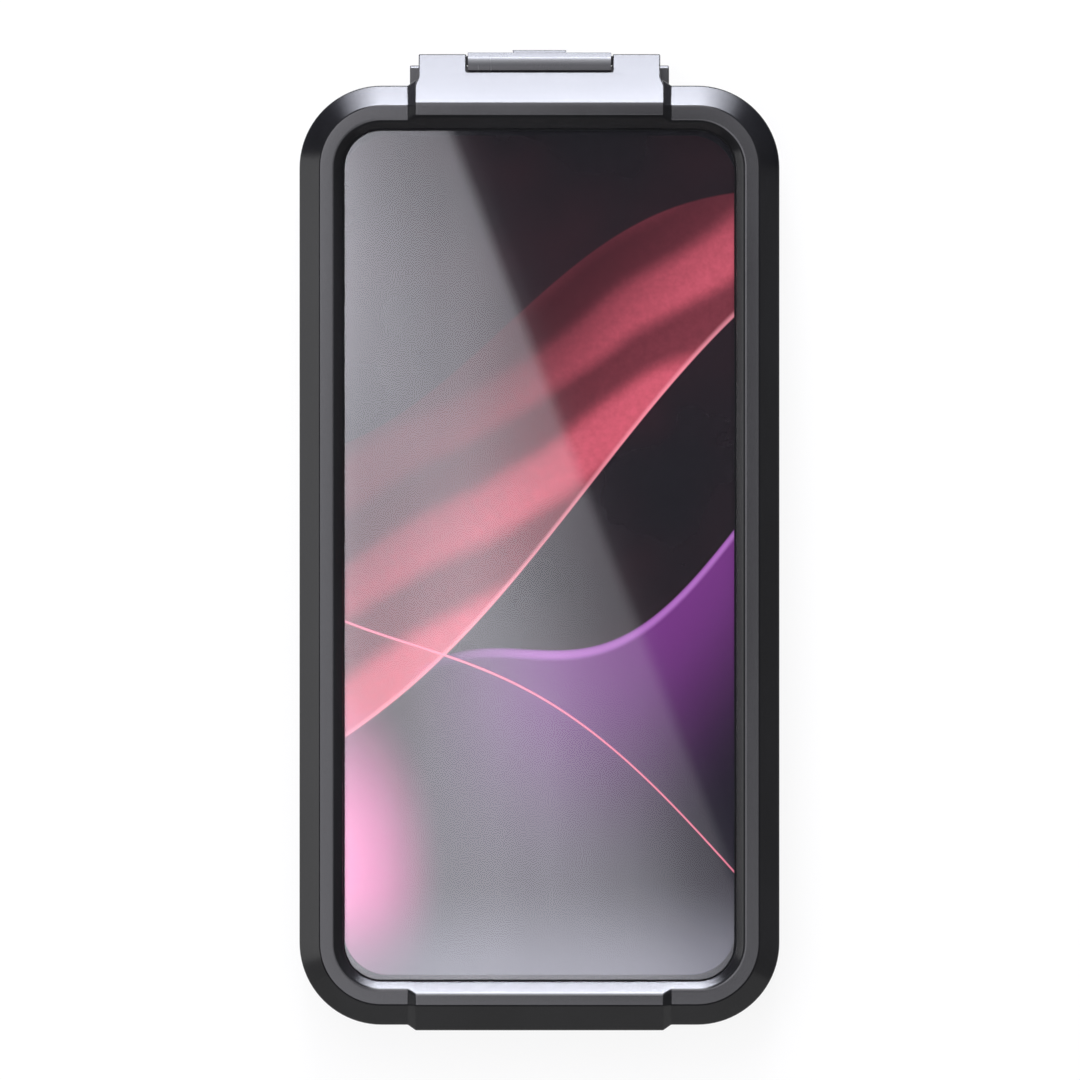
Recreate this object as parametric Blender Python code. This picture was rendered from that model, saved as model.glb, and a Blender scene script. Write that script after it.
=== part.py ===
"""Universal phone case: two hinged shells, a clear touch window and a lever latch.

The case lies on its back. +X is to the right of the window, +Y runs from the hinge to the latch, and
+Z points out of the window. Lengths are in metres. The origin is under the middle of the whole case.
"""

import math

import bmesh
import bpy
from mathutils import Matrix, Vector

# How large a helper shows
HELPER_SIZE = 0.01

# Running clearance between neighbours, and how far a cutter runs past the wall that it cuts
GAP = 0.0003
PAST = 0.0020

# Outside of both shells
CASE_WIDTH = 0.0900
CASE_LENGTH = 0.1761
CORNER_RADIUS = 0.0154
CORNER_STEPS = 8
PARTING_HEIGHT = 0.0115
LID_HEIGHT = 0.0100
FRONT_HEIGHT = PARTING_HEIGHT + LID_HEIGHT
BACK_CHAMFER = 0.0025
HALF_WIDTH = CASE_WIDTH / 2
HALF_LENGTH = CASE_LENGTH / 2
REAR_RIM = PARTING_HEIGHT - GAP / 2
FRAME_FOOT = PARTING_HEIGHT + GAP / 2

# Section of the front frame, from the outside to the window
FRONT_CHAMFER = 0.00375
FRONT_BAND = 0.00285
WINDOW_BEVEL = 0.0016
WINDOW_LIP = 0.0005
WINDOW_INSET = FRONT_CHAMFER + FRONT_BAND + WINDOW_BEVEL
WINDOW_HALF = (HALF_WIDTH - WINDOW_INSET, HALF_LENGTH - WINDOW_INSET)
WINDOW_RADIUS = CORNER_RADIUS - WINDOW_INSET
LIP_FOOT = FRONT_HEIGHT - WINDOW_BEVEL - WINDOW_LIP

# Bay for the phone, inside both shells
SIDE_WALL = 0.0042
END_WALL = 0.00565
BAY_RADIUS = 0.0105
BAY_HALF = (HALF_WIDTH - SIDE_WALL, HALF_LENGTH - END_WALL)
FLOOR_THICKNESS = 0.0030

# Window film, its retaining ring and the card behind it
FILM_LEDGE = 0.0022
FILM_THICKNESS = 0.0005
RETAINER_THICKNESS = 0.0010
CARD_THICKNESS = 0.0004
FILM_TOP = LIP_FOOT - GAP
FILM_FOOT = FILM_TOP - FILM_THICKNESS
RETAINER_TOP = FILM_FOOT - GAP
RETAINER_FOOT = RETAINER_TOP - RETAINER_THICKNESS

# Saddle pads over both ends of the frame
PAD_TOP_HALF = 0.02295
PAD_FLANK = 0.00175
PAD_PROUD = 0.00105
PAD_RISE = 0.00094
PAD_HEIGHT = FRONT_HEIGHT + PAD_RISE
PAD_CHAMFER = FRONT_CHAMFER + PAD_RISE
SEAT_SINK = 0.00005

# Latch lug on the upper pad, with its notch and catch
LUG_REACH = 0.00575
LUG_MARGIN = 0.00032
LUG_HALF = PAD_TOP_HALF + LUG_MARGIN
LUG_TAPER = 0.06
LUG_START = 0.00325
LUG_LAND = 0.0008
LUG_SKIN = 0.0018
LUG_RIB = 0.0014
NOTCH_HALF = 0.01375
NOTCH_REACH = 0.00257
CATCH_REACH = 0.00365
CATCH_RISE = 0.00165
CURVE_STEPS = 5

# Latch lever on its pin
LATCH_REACH = 0.00185
LATCH_HEIGHT = 0.0044
CATCH_RADIUS = PARTING_HEIGHT + CATCH_RISE - LATCH_HEIGHT
LATCH_PIN_RADIUS = 0.0009
LATCH_PIN_INSET = 0.0006
LEVER_BARREL = 0.0019
LEVER_THICKNESS = 0.0022
LEVER_REACH = 0.00625
NOSE_RISE = 0.0047
NOSE_HEIGHT = PARTING_HEIGHT + NOSE_RISE
NOSE_SLOPE = 0.0011
NOSE_ROUND = 0.0018
TAB_PROUD = 0.0005
TAB_HALF = 0.00506
TAB_SLANT = 0.00024
TAB_LOW = 0.0068
TAB_HIGH = 0.0098
HOOK_RADIUS = CATCH_RADIUS + GAP
LEVER_HALF = NOTCH_HALF - GAP
LATCH_Y = HALF_LENGTH + LATCH_REACH
NOSE_FACE = HALF_LENGTH + NOTCH_REACH + GAP
LEVER_OUTSIDE = HALF_LENGTH + LEVER_REACH

# Latch boss on the rear shell
BOSS_MARGIN = 0.00135
BOSS_HALF = PAD_TOP_HALF + BOSS_MARGIN
BOSS_REACH = 0.00385
BOSS_FOOT = 0.0012
BOSS_SLOPE = 0.0026
BOSS_EDGE = 0.0005

# Hinge under the lower pad
HINGE_INSET = 0.00085
HINGE_PIN_RADIUS = 0.0008
KNUCKLE_RADIUS = 0.0019
KNUCKLE_REACH = 0.0225
KNUCKLE_CENTRE_HALF = 0.0050
KNUCKLE_FRAME_LENGTH = 0.0100
HINGE_RELIEF = 0.0022
HINGE_RELIEF_INSET = 0.0004
HINGE_Y = -(HALF_LENGTH - HINGE_INSET)
ROUND_STEPS = 20

# Rubber ring in the rim of the rear shell
GROOVE_WIDTH = 0.0016
GROOVE_DEPTH = 0.0013
GROOVE_LAND = 0.0005
GROOVE_RADIUS = BAY_RADIUS + GROOVE_LAND

# Foam inside the tray
PAD_SHEET_THICKNESS = 0.0020
PAD_SHEET_SIDE_MARGIN = 0.0048
PAD_SHEET_END_MARGIN = 0.0064
PAD_SHEET_HALF = (BAY_HALF[0] - PAD_SHEET_SIDE_MARGIN, BAY_HALF[1] - PAD_SHEET_END_MARGIN)
PAD_SHEET_RADIUS = 0.0080
CUSHION_DEPTH = 0.0010
CUSHION_TOP = PARTING_HEIGHT - CUSHION_DEPTH
SIDE_CUSHION_THICKNESS = 0.0020
SIDE_CUSHION_MARGIN = 0.0274
SIDE_CUSHION_HALF = BAY_HALF[1] - SIDE_CUSHION_MARGIN
END_CUSHION_THICKNESS = 0.0030
END_CUSHION_MARGIN = 0.0138
END_CUSHION_HALF = BAY_HALF[0] - END_CUSHION_MARGIN
CUSHION_ROUND = 0.0008

# Camera window in the rear wall
CAMERA_SIDE_INSET = 0.0208
CAMERA_END_INSET = 0.0304
CAMERA_CENTRE = (BAY_HALF[0] - CAMERA_SIDE_INSET, BAY_HALF[1] - CAMERA_END_INSET)
CAMERA_HALF = (0.0130, 0.0170)
CAMERA_RADIUS = 0.0050
CAMERA_LEDGE = 0.0022
CAMERA_LEDGE_HEIGHT = 0.0008
CAMERA_SEAL_THICKNESS = 0.0005
CAMERA_PANE_THICKNESS = 0.0008

# Twist-lock socket moulded into the back
SOCKET_Y = -0.0120
SOCKET_RADIUS = 0.0140
SOCKET_MOUTH = 0.0112
SOCKET_DEPTH = 0.0034
SOCKET_LUG_THICKNESS = 0.0013
SOCKET_SLOT_HALF = 0.0048
SOCKET_BOSS_RADIUS = 0.0170
SOCKET_BOSS_RISE = 0.0016

# The whole case reaches from the lower pad to the finger tab
REACH_LATCH = LEVER_OUTSIDE + TAB_PROUD
REACH_HINGE = HALF_LENGTH + PAD_PROUD
ORIGIN_SHIFT = (REACH_HINGE - REACH_LATCH) / 2


def clear_scene():
    for item in list(bpy.data.objects):
        bpy.data.objects.remove(item, do_unlink=True)


def new_collection(name):
    collection = bpy.data.collections.new(name)
    bpy.context.scene.collection.children.link(collection)
    return collection


def empty_at(name, location, parent=None):
    empty = bpy.data.objects.new(name, None)
    empty.empty_display_size = HELPER_SIZE
    empty.location = location
    empty.parent = parent
    PARTS.objects.link(empty)
    return empty


def add_object(name, mesh, parent=None, tool=False):
    """Link a mesh whose points are measured from the middle of the case."""
    item = bpy.data.objects.new(name, mesh)
    (TOOLS if tool else PARTS).objects.link(item)
    item.parent = parent or CASE_ORIGIN
    if parent and parent is not CASE_ORIGIN:
        item.location = -Vector(parent.location)
    if tool:
        item.hide_render = True
        item.display_type = "WIRE"
    return item


def rounded_block(name, half, low, high, radius, **options):
    """A block with round upright edges; top and bottom give its chamfers, stem a neck below it."""
    centre = options.get("centre", (0.0, 0.0))
    steps = options.get("steps", CORNER_STEPS)
    shape = bmesh.new()
    bmesh.ops.create_cube(shape, size=2.0)
    middle = Vector((centre[0], centre[1], (low + high) / 2))
    bmesh.ops.scale(shape, vec=(half[0], half[1], (high - low) / 2), verts=shape.verts)
    bmesh.ops.translate(shape, vec=middle, verts=shape.verts)
    uprights = [edge for edge in shape.edges if abs(edge.verts[0].co.z - edge.verts[1].co.z) > 1e-6]
    bmesh.ops.bevel(shape, geom=uprights, offset=radius, offset_type="OFFSET", segments=steps,
                    profile=0.5, affect="EDGES")
    for height, width in ((high, options.get("top", 0.0)), (low, options.get("bottom", 0.0))):
        if width > 0.0:
            rim = [edge for edge in shape.edges
                   if all(abs(vert.co.z - height) < 1e-7 for vert in edge.verts)]
            bmesh.ops.bevel(shape, geom=rim, offset=width, offset_type="OFFSET", segments=1,
                            profile=0.5, affect="EDGES")
    stem = options.get("stem", 0.0)
    if stem > 0.0:
        foot = min(shape.faces, key=lambda face: face.calc_center_median().z)
        grown = bmesh.ops.extrude_face_region(shape, geom=[foot])["geom"]
        neck = [item for item in grown if isinstance(item, bmesh.types.BMVert)]
        bmesh.ops.translate(shape, vec=(0.0, 0.0, -stem), verts=neck)
        bmesh.ops.delete(shape, geom=[foot], context="FACES")
    bmesh.ops.recalc_face_normals(shape, faces=shape.faces)
    mesh = bpy.data.meshes.new(name)
    shape.to_mesh(mesh)
    shape.free()
    return add_object(name, mesh, options.get("parent"), options.get("tool", True))


def rounded_ring(name, half, low, high, radius, width, **options):
    """A rounded block with a hole of the same form, width inside its outline."""
    ring = rounded_block(name, half, low, high, radius, **options)
    inner_half = (half[0] - width, half[1] - width)
    hole = rounded_block(name + "_hole", inner_half, low - PAST, high + PAST, radius - width,
                         centre=options.get("centre", (0.0, 0.0)))
    boolean(ring, hole, "DIFFERENCE")
    return ring


def x_cylinder(name, radius, start, end, y, z, **options):
    """A cylinder along X from start to end."""
    shape = bmesh.new()
    turn = Matrix.Rotation(math.pi / 2, 4, "Y")
    place = Matrix.Translation(((start + end) / 2, y, z))
    bmesh.ops.create_cone(shape, cap_ends=True, segments=options.get("steps", ROUND_STEPS),
                          radius1=radius, radius2=radius, depth=end - start, matrix=place @ turn)
    mesh = bpy.data.meshes.new(name)
    shape.to_mesh(mesh)
    shape.free()
    return add_object(name, mesh, options.get("parent"), options.get("tool", True))


def z_cylinder(name, radius, low, high, y, **options):
    """An upright cylinder on the middle line of the case."""
    shape = bmesh.new()
    place = Matrix.Translation((0.0, y, (low + high) / 2))
    bmesh.ops.create_cone(shape, cap_ends=True, segments=2 * ROUND_STEPS, radius1=radius,
                          radius2=radius, depth=high - low, matrix=place)
    mesh = bpy.data.meshes.new(name)
    shape.to_mesh(mesh)
    shape.free()
    return add_object(name, mesh, options.get("parent"), True)


def profile_block(name, outline, start, end, **options):
    """A flat outline of (y, z) points, drawn out along X from start to end."""
    curve = bpy.data.curves.new(name, "CURVE")
    curve.dimensions = "2D"
    curve.fill_mode = "BOTH"
    curve.extrude = (end - start) / 2
    spline = curve.splines.new("POLY")
    spline.points.add(len(outline) - 1)
    for point, (y, z) in zip(spline.points, outline):
        point.co = (y, z, 0.0, 1.0)
    spline.use_cyclic_u = True
    sketch = bpy.data.objects.new(name + "_sketch", curve)
    TOOLS.objects.link(sketch)
    bpy.context.view_layer.update()
    evaluated = sketch.evaluated_get(bpy.context.evaluated_depsgraph_get())
    mesh = bpy.data.meshes.new_from_object(evaluated)
    bpy.data.objects.remove(sketch)
    shape = bmesh.new()
    shape.from_mesh(mesh)
    bmesh.ops.remove_doubles(shape, verts=shape.verts, dist=1e-7)
    lay = Matrix(((0, 0, 1, (start + end) / 2), (1, 0, 0, 0), (0, 1, 0, 0), (0, 0, 0, 1)))
    bmesh.ops.transform(shape, matrix=lay, verts=shape.verts)
    bmesh.ops.dissolve_limit(shape, angle_limit=math.radians(1), verts=shape.verts, edges=shape.edges)
    bmesh.ops.recalc_face_normals(shape, faces=shape.faces)
    shape.to_mesh(mesh)
    shape.free()
    return add_object(name, mesh, options.get("parent"), options.get("tool", True))


def boolean(target, tool, operation):
    step = target.modifiers.new(tool.name, "BOOLEAN")
    step.operation = operation
    step.solver = "EXACT"
    step.object = tool


def cut(target, *tools):
    for tool in tools:
        boolean(target, tool, "DIFFERENCE")


def fuse(target, *tools):
    for tool in tools:
        boolean(target, tool, "UNION")


def shade(item):
    item.data.shade_smooth()
    item.data.set_sharp_from_angle(angle=math.radians(30))


def material(name, colour, roughness, metallic=0.0, transmission=0.0):
    look = bpy.data.materials.new(name)
    look.use_nodes = True
    shader = look.node_tree.nodes["Principled BSDF"]
    shader.inputs["Base Color"].default_value = (*colour, 1.0)
    shader.inputs["Roughness"].default_value = roughness
    shader.inputs["Metallic"].default_value = metallic
    shader.inputs["Transmission Weight"].default_value = transmission
    return look


def shell_plastic():
    return material("shell_plastic", (0.030, 0.030, 0.033), 0.42)


def latch_plastic():
    return material("latch_plastic", (0.035, 0.035, 0.038), 0.38)


def clear_film():
    return material("clear_film", (0.90, 0.91, 0.93), 0.06, transmission=1.0)


def clear_pane():
    return material("clear_pane", (0.86, 0.88, 0.90), 0.05, transmission=1.0)


def seal_rubber():
    return material("seal_rubber", (0.015, 0.015, 0.016), 0.70)


def pin_steel():
    return material("pin_steel", (0.62, 0.62, 0.64), 0.28, metallic=1.0)


def foam():
    return material("foam", (0.045, 0.045, 0.050), 0.90)


def card():
    return material("card", (0.36, 0.24, 0.32), 0.45)


def dress(item, look):
    item.data.materials.append(look)
    shade(item)
    return item


def arc(centre, radius, start, end, steps):
    """Points on an arc in the YZ plane, angles in degrees from +Y towards +Z."""
    points = []
    for step in range(steps + 1):
        angle = math.radians(start + (end - start) * step / steps)
        points.append((centre[0] + radius * math.cos(angle), centre[1] + radius * math.sin(angle)))
    return points


def round_about_latch(radius, y):
    """Height at y of a circle about the latch pin."""
    return LATCH_HEIGHT + math.sqrt(radius ** 2 - (y - LATCH_Y) ** 2)


def knuckle_spans():
    """Where the knuckles of the rear shell and of the frame lie along X."""
    inner = KNUCKLE_CENTRE_HALF
    outer = inner + GAP + KNUCKLE_FRAME_LENGTH
    rear = [(-KNUCKLE_REACH, -outer - GAP), (-inner, inner), (outer + GAP, KNUCKLE_REACH)]
    frame = [(-outer, -inner - GAP), (inner + GAP, outer)]
    return rear, frame


def saddle_pad(name, side, foot):
    """A pad over one end of the frame, with sloping flanks down to the frame's own faces."""
    deep = WINDOW_HALF[1] - PAST
    proud = [
        (side * (HALF_LENGTH + PAD_PROUD), foot),
        (side * (HALF_LENGTH + PAD_PROUD), PAD_HEIGHT - PAD_CHAMFER),
        (side * (HALF_LENGTH + PAD_PROUD - PAD_CHAMFER), PAD_HEIGHT),
        (side * deep, PAD_HEIGHT),
        (side * deep, foot),
    ]
    base = [
        (side * (HALF_LENGTH - SEAT_SINK), foot),
        (side * (HALF_LENGTH - SEAT_SINK), FRONT_HEIGHT - FRONT_CHAMFER),
        (side * (HALF_LENGTH - FRONT_CHAMFER), FRONT_HEIGHT - SEAT_SINK),
        (side * deep, FRONT_HEIGHT - SEAT_SINK),
        (side * deep, foot),
    ]
    pad = profile_block(name, proud, -PAD_TOP_HALF, PAD_TOP_HALF)
    shape = bmesh.new()
    shape.from_mesh(pad.data)
    caps = [face for face in shape.faces if abs(face.normal.x) > 0.99]
    for cap in caps:
        way = math.copysign(PAD_FLANK, cap.normal.x)
        grown = bmesh.ops.extrude_face_region(shape, geom=[cap])["geom"]
        bmesh.ops.delete(shape, geom=[cap], context="FACES_ONLY")
        for vert in (item for item in grown if isinstance(item, bmesh.types.BMVert)):
            nearest = min(range(len(proud)), key=lambda index: math.dist(proud[index], vert.co.yz))
            vert.co = (vert.co.x + way, *base[nearest])
    bmesh.ops.recalc_face_normals(shape, faces=shape.faces)
    shape.to_mesh(pad.data)
    shape.free()
    return pad


def latch_lug():
    """The wedge that carries the slope of the upper pad on over the latch."""
    start = HALF_LENGTH - LUG_START
    tip = HALF_LENGTH + LUG_REACH
    outline = [
        (start - FRONT_CHAMFER, FRAME_FOOT),
        (tip, FRAME_FOOT),
        (tip, PAD_HEIGHT - (tip - start)),
        (start, PAD_HEIGHT),
        (start - LUG_LAND, PAD_HEIGHT),
        (start - FRONT_CHAMFER, FRONT_HEIGHT - FRONT_CHAMFER),
    ]
    lug = profile_block("lug_body", outline, -LUG_HALF, LUG_HALF)
    for vert in lug.data.vertices:
        vert.co.x -= math.copysign(LUG_TAPER * max(0.0, vert.co.y - start), vert.co.x)
    return lug


def lug_pockets():
    """Moulding pockets in the lug's underside, on both sides of the notch."""
    start = HALF_LENGTH - LUG_START
    inside = HALF_LENGTH
    outside = HALF_LENGTH + LUG_REACH - LUG_SKIN
    slope = PAD_HEIGHT + start - LUG_SKIN * math.sqrt(2.0)
    outline = [
        (inside, FRAME_FOOT - PAST),
        (outside, FRAME_FOOT - PAST),
        (outside, max(slope - outside, FRAME_FOOT + GAP)),
        (inside, slope - inside),
    ]
    near = NOTCH_HALF + LUG_SKIN
    far = LUG_HALF - LUG_TAPER * LUG_REACH - LUG_SKIN
    middle = (near + far) / 2
    spans = [(near, middle - LUG_RIB / 2), (middle + LUG_RIB / 2, far)]
    spans += [(-end, -start_x) for start_x, end in spans]
    return [profile_block(f"lug_pocket_{index}", outline, *span) for index, span in enumerate(spans)]


def latch_notch():
    outline = [
        (HALF_LENGTH + NOTCH_REACH, FRAME_FOOT - PAST),
        (HALF_LENGTH + LUG_REACH + PAST, FRAME_FOOT - PAST),
        (HALF_LENGTH + LUG_REACH + PAST, PAD_HEIGHT),
        (HALF_LENGTH + NOTCH_REACH, PAD_HEIGHT),
    ]
    return profile_block("latch_notch", outline, -NOTCH_HALF, NOTCH_HALF)


def catch_lip():
    """The lip in the notch that the lever's hook holds; its top is an arc about the latch pin."""
    inside = HALF_LENGTH + NOTCH_REACH - LUG_SKIN / 2
    outside = HALF_LENGTH + CATCH_REACH
    top = []
    for step in range(CURVE_STEPS + 1):
        y = outside + (inside - outside) * step / CURVE_STEPS
        top.append((y, round_about_latch(CATCH_RADIUS, y)))
    outline = [(inside, FRAME_FOOT), (outside, FRAME_FOOT), *top]
    half = NOTCH_HALF + LUG_SKIN / 2
    return profile_block("catch_lip", outline, -half, half)


def hinge_relief():
    """Takes the frame's lower outer edge away, so that it clears the tray as it swings open."""
    inside = HINGE_Y + HINGE_RELIEF_INSET
    outline = [
        (inside, FRAME_FOOT - PAST),
        (inside, PARTING_HEIGHT + HINGE_RELIEF),
        (-HALF_LENGTH - PAST, PARTING_HEIGHT + HINGE_RELIEF),
        (-HALF_LENGTH - PAST, FRAME_FOOT - PAST),
    ]
    return profile_block("hinge_relief", outline, -HALF_WIDTH, HALF_WIDTH)


def knuckles(prefix, spans, radius, grow=0.0):
    return [
        x_cylinder(f"{prefix}_{index}", radius, start - grow, end + grow, HINGE_Y, PARTING_HEIGHT)
        for index, (start, end) in enumerate(spans)
    ]


def front_frame():
    rear_spans, frame_spans = knuckle_spans()
    half = (HALF_WIDTH, HALF_LENGTH)
    frame = rounded_block("front_frame", half, FRAME_FOOT, FRONT_HEIGHT, CORNER_RADIUS,
                          top=FRONT_CHAMFER, parent=LID_HINGE, tool=False)
    fuse(frame, saddle_pad("lower_pad", -1, FRAME_FOOT), saddle_pad("upper_pad", 1, FRAME_FOOT))
    fuse(frame, latch_lug())
    cut(frame, latch_notch(), *lug_pockets())
    fuse(frame, catch_lip())
    flare = PAD_RISE + WINDOW_BEVEL + PAST
    mouth = rounded_block("window_mouth", (WINDOW_HALF[0] + flare, WINDOW_HALF[1] + flare),
                          FRONT_HEIGHT - WINDOW_BEVEL, FRONT_HEIGHT - WINDOW_BEVEL + flare + PAST,
                          WINDOW_RADIUS + flare, bottom=flare, stem=WINDOW_LIP + PAST)
    film_half = (WINDOW_HALF[0] + FILM_LEDGE, WINDOW_HALF[1] + FILM_LEDGE)
    film_seat = rounded_block("film_seat", film_half, PARTING_HEIGHT, LIP_FOOT,
                              WINDOW_RADIUS + FILM_LEDGE)
    bay = rounded_block("frame_bay", BAY_HALF, FRAME_FOOT - PAST, RETAINER_FOOT, BAY_RADIUS)
    cut(frame, mouth, film_seat, bay, hinge_relief())
    fuse(frame, *knuckles("frame_barrel", [(frame_spans[0][0], frame_spans[-1][1])], KNUCKLE_RADIUS))
    cut(frame, *knuckles("frame_clearance", rear_spans, KNUCKLE_RADIUS + GAP, GAP))
    cut(frame, x_cylinder("frame_bore", HINGE_PIN_RADIUS + GAP, -KNUCKLE_REACH, KNUCKLE_REACH,
                          HINGE_Y, PARTING_HEIGHT))
    return dress(frame, shell_plastic())


def window_film():
    half = (WINDOW_HALF[0] + FILM_LEDGE - GAP, WINDOW_HALF[1] + FILM_LEDGE - GAP)
    film = rounded_block("window_film", half, FILM_FOOT, FILM_TOP,
                         WINDOW_RADIUS + FILM_LEDGE - GAP, parent=LID_HINGE, tool=False)
    return dress(film, clear_film())


def window_retainer():
    half = (WINDOW_HALF[0] + FILM_LEDGE - GAP, WINDOW_HALF[1] + FILM_LEDGE - GAP)
    ring = rounded_ring("window_retainer", half, RETAINER_FOOT, RETAINER_TOP,
                        WINDOW_RADIUS + FILM_LEDGE - GAP, FILM_LEDGE - GAP, parent=LID_HINGE,
                        tool=False)
    return dress(ring, shell_plastic())


def display_card():
    half = (WINDOW_HALF[0] - GAP, WINDOW_HALF[1] - GAP)
    sheet = rounded_block("display_card", half, RETAINER_TOP - CARD_THICKNESS, RETAINER_TOP,
                          WINDOW_RADIUS - GAP, parent=LID_HINGE, tool=False)
    return dress(sheet, card())


def latch_boss():
    """The block on the tray's upper end that carries the latch pin."""
    tip = HALF_LENGTH + BOSS_REACH
    root = HALF_LENGTH - END_WALL / 2
    outline = [
        (root, BOSS_FOOT),
        (tip - BOSS_SLOPE, BOSS_FOOT),
        (tip, BOSS_FOOT + BOSS_SLOPE),
        (tip, REAR_RIM - BOSS_EDGE),
        (tip - BOSS_EDGE, REAR_RIM),
        (root, REAR_RIM),
    ]
    return profile_block("latch_boss", outline, -BOSS_HALF, BOSS_HALF)


def latch_slot():
    inside = LATCH_Y - LEVER_BARREL - GAP
    outline = [
        (inside, -PAST),
        (HALF_LENGTH + BOSS_REACH + PAST, -PAST),
        (HALF_LENGTH + BOSS_REACH + PAST, REAR_RIM + PAST),
        (inside, REAR_RIM + PAST),
    ]
    return profile_block("latch_slot", outline, -NOTCH_HALF, NOTCH_HALF)


def socket_cutters():
    """A round undercut behind a mouth that four slots open to the full width."""
    undercut = z_cylinder("socket_undercut", SOCKET_RADIUS, SOCKET_LUG_THICKNESS, SOCKET_DEPTH,
                          SOCKET_Y)
    mouth = z_cylinder("socket_mouth", SOCKET_MOUTH, -PAST, SOCKET_DEPTH - GAP, SOCKET_Y)
    reach = SOCKET_RADIUS - GAP
    long_half = (reach, SOCKET_SLOT_HALF)
    wide_half = (SOCKET_SLOT_HALF, reach)
    slots = [
        rounded_block(f"socket_slot_{index}", half, -PAST, SOCKET_DEPTH - 2 * GAP, GAP,
                      centre=(0.0, SOCKET_Y), steps=1)
        for index, half in enumerate((long_half, wide_half))
    ]
    return [undercut, mouth, *slots]


def camera_cutters():
    opening = rounded_block("camera_opening", CAMERA_HALF, -PAST, FLOOR_THICKNESS + PAST,
                            CAMERA_RADIUS, centre=CAMERA_CENTRE)
    half = (CAMERA_HALF[0] + CAMERA_LEDGE, CAMERA_HALF[1] + CAMERA_LEDGE)
    seat = rounded_block("camera_seat", half, CAMERA_LEDGE_HEIGHT, FLOOR_THICKNESS + PAST,
                         CAMERA_RADIUS + CAMERA_LEDGE, centre=CAMERA_CENTRE)
    return [opening, seat]


def rear_shell():
    rear_spans, frame_spans = knuckle_spans()
    shell = rounded_block("rear_shell", (HALF_WIDTH, HALF_LENGTH), 0.0, REAR_RIM, CORNER_RADIUS,
                          bottom=BACK_CHAMFER, tool=False)
    fuse(shell, latch_boss())
    cut(shell, rounded_block("rear_bay", BAY_HALF, FLOOR_THICKNESS, REAR_RIM + PAST, BAY_RADIUS))
    fuse(shell, z_cylinder("socket_boss", SOCKET_BOSS_RADIUS, FLOOR_THICKNESS - 2 * GAP,
                           FLOOR_THICKNESS + SOCKET_BOSS_RISE, SOCKET_Y))
    groove_half = (BAY_HALF[0] + GROOVE_LAND + GROOVE_WIDTH, BAY_HALF[1] + GROOVE_LAND + GROOVE_WIDTH)
    cut(shell, rounded_ring("seal_groove", groove_half, REAR_RIM - GROOVE_DEPTH, REAR_RIM + PAST,
                            GROOVE_RADIUS + GROOVE_WIDTH, GROOVE_WIDTH))
    cut(shell, latch_slot())
    cut(shell, x_cylinder("latch_bore", LATCH_PIN_RADIUS + GAP, -BOSS_HALF - PAST,
                          BOSS_HALF + PAST, LATCH_Y, LATCH_HEIGHT))
    fuse(shell, *knuckles("rear_barrel", [(rear_spans[0][0], rear_spans[-1][1])], KNUCKLE_RADIUS))
    cut(shell, *knuckles("rear_clearance", frame_spans, KNUCKLE_RADIUS + GAP, GAP))
    cut(shell, x_cylinder("rear_bore", HINGE_PIN_RADIUS + GAP, -KNUCKLE_REACH - PAST,
                          KNUCKLE_REACH + PAST, HINGE_Y, PARTING_HEIGHT))
    cut(shell, *camera_cutters(), *socket_cutters())
    return dress(shell, shell_plastic())


def lid_seal():
    inner = (BAY_HALF[0] + GROOVE_LAND + GAP, BAY_HALF[1] + GROOVE_LAND + GAP)
    width = GROOVE_WIDTH - 2 * GAP
    ring = rounded_ring("lid_seal", (inner[0] + width, inner[1] + width),
                        REAR_RIM - GROOVE_DEPTH + GAP, FRAME_FOOT - GAP, GROOVE_RADIUS + GAP + width,
                        width, tool=False)
    return dress(ring, seal_rubber())


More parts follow.
